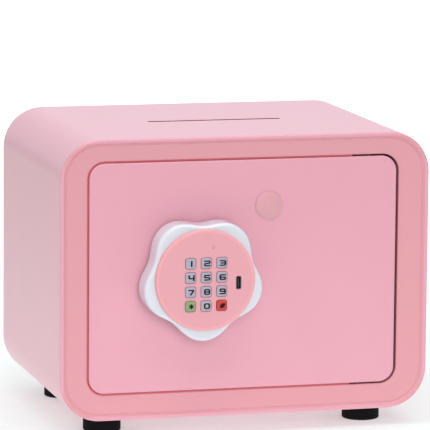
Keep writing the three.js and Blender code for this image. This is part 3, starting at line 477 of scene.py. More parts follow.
def body_skin():
    def outline(inset, depth):
        return ring(BODY_SIDES, BODY_CORNER, CREST + depth, inset)

    def doorway(grow, depth):
        return ring(DOORWAY_SIDES, DOORWAY_CORNER, CREST + depth, -grow)

    rear = BACK - CREST
    edge = SHEET_EDGE
    support = 0.6
    rings = [outline(SHEET - edge, rear), outline(edge, rear), outline(0, rear - edge),
             outline(0, LIP + support)]
    rings += [outline(inward, back) for inward, back in round_edge(LIP, 10)]
    slope_steps = 16
    for step in range(1, slope_steps + 1):
        way = step / slope_steps
        fall = way * way * (3 - 2 * way)
        seam = SEAM_DEPTH * sin(pi * max(0, way - SEAM_START) / (1 - SEAM_START)) ** 2
        rings.append(outline(LIP + (LIP_END - LIP) * way, (FRAME_RECESS - FRAME_DISH) * fall + seam))
    inner = FRAME_RECESS + FRAME_DISH
    before_edge = 0.06  # share of the dish that the last flat ring has yet to fall
    rings.append(doorway(FRAME_EDGE + support, inner - FRAME_DISH * before_edge))
    for inward, back in reversed(round_edge(FRAME_EDGE)):
        rings.append(doorway(inward, inner + back))
    flange = FRAME_RECESS + FRAME_DEPTH
    rings += [doorway(0, inner + FRAME_EDGE + support), doorway(0, flange - edge),
              doorway(edge, flange), doorway(SHEET - edge, flange), doorway(SHEET, flange - edge),
              doorway(SHEET, FRAME_RECESS + SHEET), outline(SHEET, FRAME_RECESS + SHEET),
              outline(SHEET, rear - edge)]
    skin = solid("safe_skin", rings, joined=True)
    carved(skin, slot_cutter(), *pin_cutters(), *foot_screw_cutters())
    dressed(skin, "pink_paint", "safe_body", "body_shell", "front_frame", angle=28)
    skin.data.materials.append(RING_FINISH)
    # the third finish, for the slot's walls, is painted shade
    skin.data.materials.append(SLOT_SHADE_FINISH)
    for face in skin.data.polygons:
        face.material_index = skin_finish(face.center / MM)


def slot_cutter():
    sides = (-SLOT_LENGTH / 2, SLOT_LENGTH / 2, SLOT_Y - SLOT_WIDTH / 2, SLOT_Y + SLOT_WIDTH / 2)

    def outline(grow, height):
        return laid(ring(sides, SLOT_CORNER, height, -grow, 8))

    rings = [outline(0, TOP - 2 * SHEET)]
    rings += [outline(inward, TOP - back) for inward, back in round_edge(SLOT_EDGE, 4)]
    rings.append(outline(SLOT_EDGE, TOP + SHEET))
    return solid("slot", rings)


def pin_cutters():
    pin, reach = middle("hinge_pin_top"), 2 * SHEET + GAP_RAIL
    return [rod(HINGE_PIN + 2 * FIT, low, high, (pin.x, pin.y, 0), "Z")
            for low, high in ((DOOR_LOW.z - reach, DOOR_LOW.z), (DOOR_HIGH.z, DOOR_HIGH.z + reach))]


def foot_screw_cutters():
    return [rod(FOOT_SCREW + 2 * FIT, BOTTOM - SHEET, BOTTOM + 2 * SHEET, (foot.x, foot.y, 0), "Z")
            for foot in (middle(f"foot_{place}") for place in FEET)]


def skin_finish(place):
    """The skin's finish at a place: 0 is the body's paint, 1 the frame's and 2 painted shade on the slot's
    walls.
    """
    x, y, z = place
    last = CREST + FRAME_RECESS + FRAME_DEPTH + SHEET
    over_slot = abs(x) < SLOT_LENGTH / 2 + SLOT_EDGE and abs(y - SLOT_Y) < SLOT_WIDTH
    # faces on the slot's walls get the painted shade
    if over_slot and SLOT_SHADE_START < TOP - z < 2 * SHEET:
        return 2
    framed = LEFT + RING_START < x < RIGHT - RING_START and BOTTOM + RING_START < z < TOP - RING_START
    return int(framed and y < last)


body_skin()


def back_panel():
    rear = BACK - PANEL_RECESS

    def outline(inward, y):
        return ring(BODY_SIDES, BODY_CORNER, y, SHEET + FIT + inward)

    support = 1.0
    outside = [outline(inward, rear - back) for inward, back in reversed(round_edge(PANEL_BEND))]
    inside = [outline(SHEET + inward, rear - SHEET - back)
              for inward, back in round_edge(PANEL_BEND - SHEET)]
    rim = rear - PANEL_FLANGE
    rings = [outline(PANEL_BEND + support, rear), *outside, outline(0, rim + SHEET_EDGE),
             outline(SHEET_EDGE, rim), outline(SHEET - SHEET_EDGE, rim), outline(SHEET, rim + SHEET_EDGE),
             *inside, outline(PANEL_BEND + support, rear - SHEET)]
    dressed(solid("rear_panel", rings), "pink_paint", "safe_body", "back_panel")


back_panel()


def feet():
    for place in FEET:
        low, high = box(f"foot_{place}")
        radius = (high.x - low.x) / 2
        at = ((low.x + high.x) / 2, (low.y + high.y) / 2, 0)
        edge = rounded(radius, 0, FOOT_CHAMFER, into=1)[::-1]
        profile = [(0, SCREW_SINK), (SCREW_HOLE / 2, SCREW_SINK), (SCREW_HOLE / 2, SINK_EDGE),
                   (SCREW_HOLE / 2 + SINK_EDGE, 0), (radius - FOOT_CHAMFER - FOOT_FLAT, 0), *edge,
                   (radius, high.z - WAIST_START), (radius - FOOT_WAIST, high.z - WAIST_END),
                   (radius - FOOT_WAIST, high.z), (0, high.z)]
        foot = turned(f"rubber_foot_{place}", profile, at, "Z", 72)
        carved(foot, rod(FOOT_SCREW + 2 * FIT, PAST, high.z + PAST, at, "Z"))
        dressed(foot, "black_rubber", "safe_body", f"foot_{place}")
        foot_screw(f"foot_screw_{place}", at)


def foot_screw(node, at):
    low, high = box(node)
    head, shank = (high.x - low.x) / 2, FOOT_SCREW / 2
    dome = [(head * sin(turn), low.z + SCREW_HEAD * HEAD_DOME * (1 - cos(turn))) for turn in quarter(8)]
    profile = [*dome, (head, low.z + SCREW_HEAD), (shank, low.z + SCREW_HEAD), (shank, high.z), (0, high.z)]
    thing = turned(node + "_turned", profile, at, "Z", 48)
    carved(thing, cross(at, "Z", low.z - PAST, low.z + FOOT_RECESS_DEPTH, **FOOT_RECESS))
    dressed(thing, "steel", "safe_body", node)


def cross(at, axis, start, end, reach, width):
    """Cutter for a cross recess round an axis through a place, from a start to an end along it."""
    x, y, z = at
    arms = []
    for wide, tall in ((reach, width / 2), (width / 2, reach)):
        corners = [{"Y": (x + side * wide, along, z + side * tall),
                    "Z": (x + side * wide, y + side * tall, along)}[axis]
                   for side, along in ((-1, start), (1, end))]
        arms.append(block(*corners))
    return carved(arms[0], arms[1], how="UNION")


feet()


# The door plate, with its two guide studs

def door_skin():
    corner = DOORWAY_CORNER - GAP_RAIL
    support = 0.8

    def outline(inset, depth):
        return ring(DOOR_SIDES, corner, FACE + depth, inset)

    rings = [outline(BACK_EDGE, DOOR_THICKNESS), outline(0, DOOR_THICKNESS - BACK_EDGE)]
    rings += [outline(inward, depth) for inward, depth in round_edge(DOOR_EDGE)]
    rings.append(outline(DOOR_EDGE + support, 0))
    skin = solid("door_skin", rings)
    carved(skin, *[rod(diameter, -PAST, DOOR_THICKNESS + PAST, (at.x, FACE, at.z))
                   for diameter, at in ((SPINDLE_HOLE, KNOB), (LOCK_HOLE, LOCK))])
    for side in (-1, 1):
        place = (KNOB.x - STUD_INSET, FACE, KNOB.z + side * STUD_RISE)
        carved(skin, rod(STUD_DIAMETER, DOOR_THICKNESS - PAST, DOOR_HIGH.y - FACE, place), how="UNION")
    dressed(skin, "pink_paint", "door", "door_plate", angle=30)


door_skin()


def gap_shade_strip():
    """A thin strip in the gap at the latch side, the top and the bottom, ending before the hinge; its deep
    red is painted shade, the colour of light bounced between the gap's pink walls.
    """
    reach = GAP_STRIP_SHARE * GAP_LATCH
    front, back = FACE + GAP_STRIP_SUNK, FACE + DOOR_THICKNESS

    def outline(inset, y):
        return ring(DOORWAY_SIDES, DOORWAY_CORNER, y, inset)

    strip = solid("gap_shade_strip", [outline(0, front), outline(reach, front), outline(reach, back),
                                outline(0, back)], joined=True)
    right = DOOR_HIGH.x - GAP_STRIP_END
    carved(strip, block((right, front - PAST, BOTTOM), (RIGHT, back + PAST, TOP)))
    # the strip's finish is painted shade for the gap
    dressed(strip, "pink_paint", "safe_body", look=GAP_SHADE_FINISH)


gap_shade_strip()


# The petal wheel

def petals(inset, y, count=240):
    points = []
    for step in range(count):
        angle = 2 * pi * step / count
        phase = PETALS * (angle + pi / 2)
        radius = PETAL_MEAN + PETAL_WAVE * cos(phase) - PETAL_FULLNESS * cos(2 * phase) - inset
        points.append((KNOB.x + radius * cos(angle), y, KNOB.z + radius * sin(angle)))
    return points


def petal_wheel():
    back, front = FACE - KNOB_GAP, WHEEL_FRONT
    support = 0.5
    rings = [petals(WHEEL_BACK_EDGE + support, back)]
    rings += [petals(inward, back - depth) for inward, depth in reversed(round_edge(WHEEL_BACK_EDGE, 3))]
    rings += [petals(inward, front + depth) for inward, depth in round_edge(WHEEL_EDGE, 10)]
    rings.append(petals(WHEEL_EDGE + support, front))
    wheel = solid("petal_grip", rings)
    deep = back - WHEEL_HOLLOW
    hollow = solid("hollow", [petals(WHEEL_WALL, back + PAST), petals(WHEEL_WALL, deep)])
    at = Vector((KNOB.x, 0, KNOB.z))
    for petal in range(PETALS):
        angle = 2 * pi * petal / PETALS + pi / 2 - pi / PETALS
        along = Vector((cos(angle), 0, -sin(angle)))
        across = Vector((sin(angle), 0, cos(angle))) * RIB_THICKNESS / 2
        out = at + along * PETAL_MEAN
        rib = [[end + side * across + Vector((0, y, 0)) for end, side in
                ((at, -1), (out, -1), (out, 1), (at, 1))] for y in (back + 2 * PAST, deep - PAST)]
        carved(hollow, solid("rib", rib))
    carved(hollow, rod(HUB_DIAMETER, back + 2 * PAST, deep - PAST, at))
    carved(wheel, hollow)
    carved(wheel, rod(HUB_DIAMETER, deep - support, FACE - KNOB_FLOAT, at), how="UNION")
    floor = front + WHEEL_RECESS
    carved(wheel, rod(SPINDLE_DIAMETER + 2 * FIT, floor + SPINDLE_WEB, FACE, at),
           rod(SPIGOT_DIAMETER + 2 * FIT, front - PAST, floor, at, sides=128))
    carved(wheel, rod(SPINDLE_BORE, floor - PAST, floor + 2 * SPINDLE_WEB, at))
    dressed(wheel, "white_plastic", "knob", "petal_wheel", angle=30)


petal_wheel()


# The keypad: a round cap with windows, the keys with their ink, the socket and the indicator light

KEYS = ["1", "2", "3", "4", "5", "6", "7", "8", "9", "star", "0", "hash"]


def square(size, corner, y, at, steps=6):
    half = size / 2
    return ring((at.x - half, at.x + half, at.z - half, at.z + half), corner, y, steps=steps)


def keypad_cap():
    front, seat, rear = CAP_LOW.y, WHEEL_FRONT - FIT, CAP_HIGH.y
    disc, spigot = (CAP_HIGH.x - CAP_LOW.x) / 2, SPIGOT_DIAMETER / 2
    inside = front + CAP_WALL
    support = 0.5
    rim = disc - CAP_RIM
    profile = [(0, inside), (spigot - CAP_WALL, inside), (spigot - CAP_WALL, rear), (spigot, rear),
               (spigot, seat), (disc - BACK_EDGE, seat), (disc, seat - BACK_EDGE),
               *rounded(disc, front, CAP_EDGE, into=1), (rim, front),
               (rim - 2 * CAP_DISH, front + CAP_DISH), (rim - 2 * CAP_DISH - support, front + CAP_DISH),
               (0, front + CAP_DISH)]
    at = (KNOB.x, 0, KNOB.z)
    cap = turned("keypad_cap", profile, at, sides=160)
    tools = []
    for name in KEYS:
        key = middle(f"key_{name}")
        size, corner = KEY_SIZE + 2 * WINDOW_GAP, KEY_CORNER + WINDOW_GAP
        rings = [square(size, corner, inside + PAST, key)]
        rings += [square(size + 2 * inward, corner + inward, front + CAP_DISH + depth, key)
                  for inward, depth in round_edge(WINDOW_EDGE, 3)]
        rings.append(square(size + 2 * WINDOW_EDGE, corner + WINDOW_EDGE, front - PAST, key))
        tools.append(solid("window", rings))
    start, end = front - PAST, inside + PAST
    tools.append(solid("socket", [socket_outline(FIT, y) for y in (start, end)]))
    tools.append(rod(LIGHT_DIAMETER, start, end, (KNOB.x + LIGHT_X, 0, KNOB.z + LIGHT_Z)))
    carved(cap, *tools)
    dressed(cap, "pink_plastic", "knob", "keypad_housing", angle=30, look=CAP_FINISH)


def socket_outline(grow, y):
    return ring(SOCKET_SIDES, SOCKET_CORNER, y, -grow, 6)


def socket():
    front, rear, wall, lip = SOCKET_LOW.y + CAP_DISH, SOCKET_HIGH.y, SOCKET_WALL, SOCKET_LIP
    rings = [socket_outline(-inset, y) for inset, y in
             ((0, rear), (0, front + lip), (lip, front), (wall - lip, front), (wall, front + lip),
              (wall, rear - SOCKET_BASE))]
    # the shell's darkened steel is painted shade inside the socket
    dressed(solid("socket_shell", rings), "steel", "knob", "usb_port", look=DARKENED_STEEL_FINISH)
    half, reach = TONGUE_THICKNESS / 2, TONGUE_LENGTH / 2
    sides = (SOCKET.x - half, SOCKET.x + half, SOCKET.z - reach, SOCKET.z + reach)
    tongue = solid("socket_tongue", [ring(sides, TONGUE_CORNER, y, steps=3)
                                     for y in (rear - SOCKET_BASE - SOCKET_LIP, front + TONGUE_SINK)])
    dressed(tongue, "black_plastic", "knob")


def indicator_light():
    radius, front = LIGHT_DIAMETER / 2 - LENS_GAP, CAP_LOW.y + CAP_DISH
    dome = [(radius * cos(turn), front + LENS_SUNK - LENS_DOME * sin(turn)) for turn in quarter(8)]
    lens = turned("indicator_light", [(0, front + CAP_WALL), (radius, front + CAP_WALL), *dome],
                  (KNOB.x + LIGHT_X, 0, KNOB.z + LIGHT_Z), sides=48)
    dressed(lens, "grey_key", "knob", look=LENS_FINISH)


def key_cap(name):
    node = f"key_{name}"
    low, high = box(node)
    at = middle(node)
    flange = high.x - low.x
    flange_front = CAP_LOW.y + CAP_WALL + FIT
    flange_back = flange_front + KEY_FLANGE
    rings = [square(size, corner, y, at) for size, corner, y in
             ((KEY_STEM, STEM_CORNER, high.y), (KEY_STEM, STEM_CORNER, flange_back),
              (flange, KEY_CORNER, flange_back), (flange, KEY_CORNER, flange_front),
              (KEY_SIZE, KEY_CORNER, flange_front))]
    front = low.y + INK_PROUD
    rings += [square(KEY_SIZE - 2 * inward, KEY_CORNER - inward, front + depth, at)
              for inward, depth in round_edge(KEY_EDGE, 6)]
    support = 0.5
    rings.append(square(KEY_SIZE - 2 * KEY_EDGE - support, KEY_CORNER - KEY_EDGE, front, at))
    body = f"button_{name}"
    dressed(solid(f"key_cap_{name}", rings), SLOT_OF[node], body, node)
    dressed(glyph(name, at, front), "black_plastic", body, look=INK_FINISH)


# Key marks as strokes in a box one wide and one high; a closed stroke ends where it starts
STROKES = {
    "0": [[(0.04, 0), (0.96, 0), (0.96, 1), (0.04, 1), (0.04, 0)]],
    "1": [[(0.5, 0), (0.5, 1)]],
    "2": [[(0, 1), (1, 1), (1, 0.5), (0, 0.5), (0, 0), (1, 0)]],
    "3": [[(0, 1), (1, 1), (1, 0), (0, 0)], [(0.15, 0.5), (1, 0.5)]],
    "4": [[(0, 1), (0, 0.4), (0.95, 0.4)], [(0.95, 1), (0.95, 0)]],
    "5": [[(1, 1), (0, 1), (0, 0.5), (1, 0.5), (1, 0), (0, 0)]],
    "6": [[(1, 1), (0, 1), (0, 0), (1, 0), (1, 0.5), (0, 0.5)]],
    "7": [[(0, 0.96), (1, 0.96), (0.35, 0)]],
    "8": [[(0.04, 0), (0.96, 0), (0.96, 1), (0.04, 1), (0.04, 0)], [(0.04, 0.5), (0.96, 0.5)]],
    "9": [[(0, 0), (1, 0), (1, 1), (0, 1), (0, 0.5), (1, 0.5)]],
    "hash": [[(0.22, 0.05), (0.52, 0.95)], [(0.52, 0.05), (0.82, 0.95)], [(0.1, 0.34), (0.84, 0.34)],
             [(0.2, 0.68), (0.94, 0.68)]],
    "star": [[(0.5, 0.08), (0.5, 0.92)], [(0.2, 0.28), (0.8, 0.72)], [(0.2, 0.72), (0.8, 0.28)]],
}


def rounded_path(corners, fillet, steps=4):
    """Points along a path whose corners are rounded off; a closed path comes back to its start."""
    closed = corners[0] == corners[-1]
    if closed:
        start = (corners[0] + corners[1]) / 2
        corners = [start, *corners[1:], start]
    path = [corners[0]]
    for before, corner, after in zip(corners, corners[1:], corners[2:]):
        near = min(fillet, (corner - before).length / 2, (after - corner).length / 2)
        a = corner + (before - corner).normalized() * near
        b = corner + (after - corner).normalized() * near
        for step in range(steps + 1):
            t = step / steps
            path.append(a * (1 - t) ** 2 + corner * 2 * t * (1 - t) + b * t ** 2)
    path.append(corners[-1])
    return path, closed


def stroke(corners, widths, front, back, fillet=0.75):
    """A stroke between two depths, with one width where it runs upright and one where it runs level."""
    upright, flat = widths
    path, closed = rounded_path(corners, fillet)
    if closed:
        path = path[:-1]
    else:
        path[0] = path[0] + (path[0] - path[1]).normalized() * flat / 2
        path[-1] = path[-1] + (path[-1] - path[-2]).normalized() * flat / 2
    rings = []
    for i, point in enumerate(path):
        before = path[i - 1] if closed or i else point
        after = path[(i + 1) % len(path)] if closed or i + 1 < len(path) else point
        ahead = (after - before).normalized()
        side = Vector((-ahead.y * upright, ahead.x * flat)) / 2
        left, right = point + side, point - side
        rings.append([(left.x, front, left.y), (right.x, front, right.y), (right.x, back, right.y),
                      (left.x, back, left.y)])
    return solid("stroke", rings, joined=closed)


def glyph(name, at, front):
    """The mark of a key, as thin ink on its face; crossing strokes differ a little in height."""
    widths = SIGN_STROKE if name in ("hash", "star") else DIGIT_STROKE
    wide, tall = GLYPH_WIDTH - widths[0], GLYPH_HEIGHT - widths[1]
    parts = []
    for index, corners in enumerate(STROKES[name]):
        points = [Vector((at.x + INK_OFFSET + (u - 0.5) * wide, at.z + (v - 0.5) * tall))
                  for u, v in corners]
        step = index * INK_STEP
        parts.append(stroke(points, widths, front - INK_PROUD + step, front + INK_SUNK - step))
    return merged(parts, f"key_ink_{name}")


keypad_cap()
socket()
indicator_light()
for key_name in KEYS:
    key_cap(key_name)


def keyhole_cover():
    low, high = box("keyhole_cover")
    radius, stem = (high.x - low.x) / 2, COVER_STEM
    rim = radius - COVER_EDGE
    edge = rounded(radius, low.y + COVER_CROWN, COVER_EDGE, 4, into=1)
    crown = [(rim * way, low.y + COVER_CROWN * way * way)
             for way in (1 - step / COVER_STEPS for step in range(1, COVER_STEPS + 1))]
    profile = [(0, high.y), (stem - BACK_EDGE, high.y), (stem, high.y - BACK_EDGE), (stem, FACE - FIT),
               (radius, FACE - FIT), *edge, *crown]
    cover = turned("keyhole_cap_disc", profile, (LOCK.x, 0, LOCK.z))
    dressed(cover, "pink_plastic", "keyhole_cap", "keyhole_cover", look=COVER_FINISH)


keyhole_cover()


# The locking bolts, which show at the door's edge, with a slot for the slide in their rear ends

BOLT_TIP, BOLT_SLOT_DEPTH, BOLT_SLOT_WIDTH = 1.8, 8, 2.6


def bolts():
    for node in ("bolt_upper", "bolt_lower"):
        low, high = box(node)
        radius, length = (high.z - low.z) / 2, high.x - low.x
        profile = [(0, 0), (radius, 0), *rounded(radius, -length, BOLT_TIP, 8, into=1), (0, -length)]
        at = (high.x, (low.y + high.y) / 2, (low.z + high.z) / 2)
        bolt = turned(node + "_turned", profile, at, "X", 64)
        half = BOLT_SLOT_WIDTH / 2
        carved(bolt, block((high.x - BOLT_SLOT_DEPTH, at[1] - half, low.z - PAST),
                           (high.x + PAST, at[1] + half, high.z + PAST)))
        dressed(bolt, "steel", "bolt_work", node)


bolts()


# The felt mat

def felt_mat():
    low, high = box("floor_mat")
    corner, edge = 6, 0.5

    def outline(inset, height):
        return laid(ring((low.x, high.x, low.y, high.y), corner, height, inset))

    rings = [outline(edge, low.z), outline(0, low.z + edge), outline(0, high.z - edge),
             outline(edge, high.z)]
    mat = dressed(solid("felt_mat", rings), "felt", "safe_body", "floor_mat")


felt_mat()


# Pressed and moulded pieces behind the door keep their form and get softened edges
SOFT_EDGES = {
    "door_pan": 0.5, "inner_cover": 0.35, "battery_lid": 0.35, "battery_tray": 0.3, "bolt_slide": 0.2,
    "drive_cam": 0.2, "lock_flag": 0.2, "solenoid": 0.2, "reset_button": 0.2, "lock_barrel": 0.2,
}
for soft_node, soft_edge in SOFT_EDGES.items():
    softened(soft_node, soft_edge)


# Pieces that show with the door open, and those behind the lid and the cover

CELL_COUNT, CELL_EDGE, CELL_BAND = 4, 0.6, 14
CELL_NUB, CELL_NUB_HEIGHT, CELL_NUB_EDGE = 5.5, 1, 0.3
LEVEL = 0.9  # upward share of a normal above which a face is a cell's end
COVER_SCREW_HEAD, COVER_SCREW_SHANK, COVER_SCREW_EDGE = 1.6, 3, 1.0
RECESS = {"reach": 1.7, "width": 0.6}
RECESS_DEPTH = 0.9
COIL_DIAMETER, COIL_BORE, COIL_CAP, COIL_RIM, WIRE = 9, 6, 0.8, 9.6, 0.5
COIL_STEPS, COIL_BULGE = 4, 0.25  # points over each turn of wire, and how far it stands out
PLUNGER_DIAMETER, PLUNGER_EDGE, COLLAR_THICKNESS, COLLAR_EDGE = 4, 0.3, 2, 1.2
SPRING_WIRE, SPRING_TURNS, SPRING_FLAT, PLUNGER_RANGE = 0.7, 4.5, 0.25, 2.1
SPRING_STEPS, SPRING_SIDES = 36, 8
COMPONENTS = {
    # name: place from the board's lower left corner, width, height, depth, finish
    "controller_chip": (6, 4, 12, 8, 1.8, "black_plastic"),
    "driver_chip": (5, 26, 5, 6, 1.5, "black_plastic"),
    "relay": (26, 14, 9, 12, 5, "black_plastic"),
    "plug_socket": (12, 36, 13, 5, 4.5, "white_plastic"),
}
COMPONENT_EDGE = 0.2
PIN, PIN_PITCH, PIN_REACH = 0.5, 1.27, 1.0
RESISTORS_X, RESISTORS_Z, RESISTOR_PITCH, RESISTOR_COUNT = 5, 15.5, 3.2, 5
RESISTOR_SIZE = (2, 1.2, 0.6)
CAPACITOR_DIAMETER, CAPACITOR_HEIGHT, CAPACITOR_EDGE = 6.3, 5.4, 0.5
CAPACITOR_X, CAPACITOR_Z = 28.5, 8


def cells():
    """Round cells, every other one upside down, with a bright band at the end with the nub."""
    for number in range(1, CELL_COUNT + 1):
        low, high = box(f"battery_{number}")
        radius, length = (high.x - low.x) / 2, high.z - low.z
        shoulder, nub = length - CELL_NUB_HEIGHT, CELL_NUB / 2
        profile = [(0, 0), *rounded(radius, 0, CELL_EDGE, 4, into=1)[::-1], (radius, shoulder - CELL_BAND),
                   *rounded(radius, shoulder, CELL_EDGE, 4), (nub, shoulder),
                   *rounded(nub, length, CELL_NUB_EDGE, 2), (0, length)]
        upright = number % 2
        if not upright:
            profile = [(out, length - along) for out, along in profile]
        at = ((low.x + high.x) / 2, (low.y + high.y) / 2, low.z)
        cell = turned(f"cell_{number}", profile, at, "Z", 64)
        dressed(cell, "cell_wrap", "door", f"battery_{number}")
        cell.data.materials.append(BAND_FINISH)
        cell.data.materials.append(FINISHES["steel"])
        for face in cell.data.polygons:
            along = face.center.z / MM - low.z
            along = along if upright else length - along
            out = hypot(face.center.x / MM - at[0], face.center.y / MM - at[1])
            end = abs(face.normal.z) > LEVEL or out < nub + FIT
            face.material_index = 2 if end else int(along > shoulder - CELL_BAND)


def cover_screws():
    """Pan head screws whose cross recess looks into the safe."""
    for node in sorted(frame["nodes"]):
        if not node.startswith("cover_screw"):
            continue
        low, high = box(node)
        at = middle(node)
        head, seat = (high.x - low.x) / 2, high.y - COVER_SCREW_HEAD
        crown = rounded(head, high.y, COVER_SCREW_EDGE, 5)
        profile = [(0, low.y), (COVER_SCREW_SHANK / 2, low.y), (COVER_SCREW_SHANK / 2, seat), (head, seat),
                   *crown, (0, high.y)]
        thing = turned(node + "_turned", profile, (at.x, 0, at.z), sides=48)
        carved(thing, cross(at, "Y", high.y - RECESS_DEPTH, high.y + PAST, **RECESS))
        dressed(thing, "steel", BODY_OF[node], node)


def winding():
    """Copper wire round the solenoid's coil, between two black end caps."""
    low, high = box("solenoid")
    at = ((low.x + high.x) / 2, (low.y + high.y) / 2, 0)
    start, end = low.z + SHEET + COIL_CAP, high.z - SHEET - COIL_CAP
    turns = round((end - start) / WIRE)
    wire = [(COIL_BORE / 2, end), (COIL_BORE / 2, start)]
    count = turns * COIL_STEPS
    for step in range(count + 1):
        bulge = abs(sin(step * pi / COIL_STEPS)) * WIRE * COIL_BULGE
        wire.append((COIL_DIAMETER / 2 + bulge, start + (end - start) * step / count))
    dressed(turned("coil_winding", wire, at, "Z", 64, joined=True), "brass", "door", angle=60,
            look=COPPER_FINISH)
    for index, (foot, top) in enumerate(((start - COIL_CAP, start), (end, end + COIL_CAP))):
        profile = [(COIL_BORE / 2, foot), (COIL_RIM / 2, foot), (COIL_RIM / 2, top), (COIL_BORE / 2, top)]
        end_cap = turned(f"coil_cap_{index + 1}", profile, at, "Z", 64, joined=True)
        dressed(end_cap, "black_plastic", "door")


def plunger():
    """The bolts' stop, with a collar that is rounded where the flag lifts it."""
    low, high = box("plunger")
    at = middle("plunger")
    shaft, collar = PLUNGER_DIAMETER / 2, (high.x - low.x) / 2
    seat = box("plunger_spring")[0].z - FIT
    under = seat - COLLAR_THICKNESS
    profile = [(0, low.z), *rounded(shaft, low.z, PLUNGER_EDGE, 3, into=1)[::-1], (shaft, under),
               *rounded(collar, under, COLLAR_EDGE, 8, into=1)[::-1],
               *rounded(collar, seat, PLUNGER_EDGE, 3), (shaft, seat),
               *rounded(shaft, high.z, PLUNGER_EDGE, 3), (0, high.z)]
    thing = turned("plunger_turned", profile, (at.x, at.y, 0), "Z", 64)
    dressed(thing, "steel", BODY_OF["plunger"], "plunger")


def release_spring():
    """A wire spring whose ends lie flat."""
    low, high = box("plunger_spring")
    at = middle("plunger_spring")
    wire, coil = SPRING_WIRE / 2, (high.x - low.x - SPRING_WIRE) / 2
    climb = high.z - low.z - SPRING_WIRE
    count, flat = int(SPRING_TURNS * SPRING_STEPS), SPRING_FLAT / SPRING_TURNS
    rings = []
    for step in range(count + 1):
        way = step / count
        rise = min(1, max(0, (way - flat) / (1 - 2 * flat)))
        angle = 2 * pi * SPRING_TURNS * way
        out = Vector((cos(angle), sin(angle), 0))
        centre = Vector((at.x, at.y, low.z + wire + climb * rise)) + out * coil
        turns = [2 * pi * corner / SPRING_SIDES for corner in range(SPRING_SIDES)]
        rings.append([centre + out * wire * cos(turn) + Vector((0, 0, wire * sin(turn))) for turn in turns])
    spring = dressed(solid("release_spring", rings), "steel", "door", "plunger_spring", angle=60)
    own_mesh(spring)


def board_parts():
    """Components on the lock's board, clear of the bosses and of the reset button."""
    low, high = box("lock_board")
    corner = Vector((low.x, high.y, low.z))

    def lump(x, z, wide, tall, deep):
        start = corner + Vector((x, 0, z))
        return block(start, start + Vector((wide, deep, tall)))

    for name, (x, z, wide, tall, deep, slot) in COMPONENTS.items():
        thing = eased(lump(x, z, wide, tall, deep), COMPONENT_EDGE)
        thing.name = name
        dressed(thing, slot, "door")
    pins = []
    for name in ("controller_chip", "driver_chip"):
        x, z, wide, tall, *_ = COMPONENTS[name]
        for row in range(int(tall / PIN_PITCH)):
            height = z + PIN_PITCH * (row + 0.5)
            pins += [lump(edge, height - PIN / 2, PIN_REACH, PIN, PIN)
                     for edge in (x - PIN_REACH, x + wide)]
    dressed(merged(pins, "chip_legs"), "steel", "door")
    resistors = [lump(RESISTORS_X + RESISTOR_PITCH * index, RESISTORS_Z, *RESISTOR_SIZE)
                 for index in range(RESISTOR_COUNT)]
    dressed(merged(resistors, "chip_resistors"), "black_plastic", "door")
    radius = CAPACITOR_DIAMETER / 2
    crown = rounded(radius, CAPACITOR_HEIGHT, CAPACITOR_EDGE, 4)
    can = turned("capacitor", [(0, 0), (radius, 0), *crown, (0, CAPACITOR_HEIGHT)],
                 corner + Vector((CAPACITOR_X, 0, CAPACITOR_Z)), sides=48)
    dressed(can, "steel", "door")


cells()
cover_screws()
winding()
plunger()
release_spring()
board_parts()

for node_name, node_object in frame["nodes"].items():
    node_object.data.materials.clear()
    # the hinge pins take the same darkened steel as the socket shell
    dark = node_name.startswith("hinge_pin")
    node_object.data.materials.append(DARKENED_STEEL_FINISH if dark else FINISHES[SLOT_OF[node_name]])


# Floor, background and light

AMBIENT = 0.27
GLOSS_SHARE = 0.45  # how much of the floor's white reflections see
ROOM_COLOR = (1.0, 0.90, 0.90)  # of the light from all round
GLOSS_COLOR = (0.88, 0.95, 1.0)  # of the room in reflections
FLOOR_COLOR = (0.50, 0.57, 0.56)
FLOOR_LIFT = 0.40
FLOOR_FADE = (0.08, 0.9)  # metres from the middle, over which the floor turns white
FLOOR_REACH = 20000
FLOOR_THICKNESS, FLOOR_ROUGHNESS = 5, 0.9
TABLE_GLOW, TABLE_REACH = 0.8, 0.9  # light that the floor sends up, and its radius in metres

LAMP_AIM = (0, 0, 0.1)
LAMPS = {
    # name: place, size, power, color
    "overhead": ((0, -0.4, 1.5), 1.4, 13.5, (0.97, 0.99, 1.0)),
    "front": ((-0.3, -2.3, 0.8), 1.2, 24, (1, 1, 1)),
    "left": ((-1.4, -0.2, 1.5), 0.9, 9, (1, 1, 1)),
    "rear": ((0.5, 2.4, 0.9), 1.2, 16, (1, 1, 1)),
    "right": ((2.0, 0.3, 0.8), 1.2, 8, (1, 1, 1)),
}
FILL_LAMPS = ("front", "left", "rear", "right")  # soft light that leaves no highlight


def seen(tree, gloss_share=1.0):
    """1 on camera rays and through glass, which see the white background, and a share in reflections."""
    path = added(tree, "ShaderNodeLightPath")
    gloss = added(tree, "ShaderNodeMath", {1: gloss_share}, operation="MULTIPLY")
    link(tree, path, "Is Glossy Ray", gloss, 0)
    total = added(tree, "ShaderNodeMath", operation="ADD")
    link(tree, path, "Is Camera Ray", total, 0)
    link(tree, gloss, "Value", total, 1)
    both = added(tree, "ShaderNodeMath", operation="ADD", use_clamp=True)
    link(tree, total, "Value", both, 0)
    link(tree, path, "Is Transmission Ray", both, 1)
    return both.outputs["Value"]


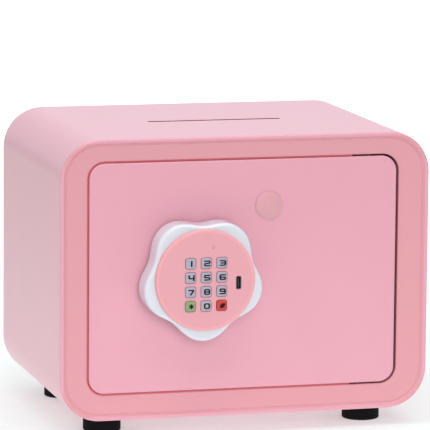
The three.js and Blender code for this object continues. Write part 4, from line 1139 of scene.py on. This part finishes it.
def background():
    scene = bpy.context.scene
    scene.view_settings.view_transform = "Standard"
    scene.world = bpy.data.worlds.new("studio")
    scene.world.use_nodes = True
    tree = scene.world.node_tree
    shader = tree.nodes["Background"]
    path = added(tree, "ShaderNodeLightPath")
    room = added(tree, "ShaderNodeMix", {"A": (*ROOM_COLOR, 1), "B": (*GLOSS_COLOR, 1)}, data_type="RGBA")
    link(tree, path, "Is Glossy Ray", room, "Factor")
    white = added(tree, "ShaderNodeMix", {"B": (1, 1, 1, 1)}, data_type="RGBA")
    link(tree, room, "Result", white, "A")
    link(tree, path, "Is Camera Ray", white, "Factor")
    link(tree, white, "Result", shader, "Color")
    strength = added(tree, "ShaderNodeMapRange", {"To Min": AMBIENT, "To Max": 1.0})
    tree.links.new(seen(tree), strength.inputs["Value"])
    link(tree, strength, "Result", shader, "Strength")


def studio_floor():
    material = bpy.data.materials.new("studio_floor")
    material.use_nodes = True
    tree = material.node_tree
    shader = fed(tree.nodes["Principled BSDF"], {
        "Base Color": (*FLOOR_COLOR, 1), "Roughness": FLOOR_ROUGHNESS, "Specular IOR Level": 0.0,
        "Emission Color": (1, 1, 1, 1)})
    distance = added(tree, "ShaderNodeVectorMath", operation="LENGTH")
    link(tree, added(tree, "ShaderNodeTexCoord"), "Object", distance, 0)
    near, far = FLOOR_FADE
    fade = added(tree, "ShaderNodeMapRange", {"From Min": near, "From Max": far, "To Min": FLOOR_LIFT})
    glow = added(tree, "ShaderNodeMapRange", {"From Max": TABLE_REACH, "To Min": TABLE_GLOW, "To Max": 0.0})
    lift = added(tree, "ShaderNodeMix")
    tree.links.new(seen(tree, GLOSS_SHARE), lift.inputs["Factor"])
    for source, into in ((glow, "A"), (fade, "B")):
        link(tree, distance, "Value", source, "Value")
        link(tree, source, "Result", lift, into)
    link(tree, lift, "Result", shader, "Emission Strength")
    corners = ((-1, -1), (1, -1), (1, 1), (-1, 1))
    floor = solid("studio_floor_plane", [[(x * FLOOR_REACH, y * FLOOR_REACH, z) for x, y in corners]
                                         for z in (-FLOOR_THICKNESS, 0)])
    floor.data.materials.append(material)


def lamps():
    for name, (place, size, power, color) in LAMPS.items():
        data = bpy.data.lights.new(name, "AREA")
        data.size = size
        data.energy = power
        data.color = color
        lamp = bpy.data.objects.new(name, data)
        lamp.location = place
        lamp.rotation_euler = (Vector(LAMP_AIM) - Vector(place)).to_track_quat("-Z", "Y").to_euler()
        lamp.visible_glossy = name not in FILL_LAMPS
        bpy.context.scene.collection.objects.link(lamp)


background()
studio_floor()
lamps()
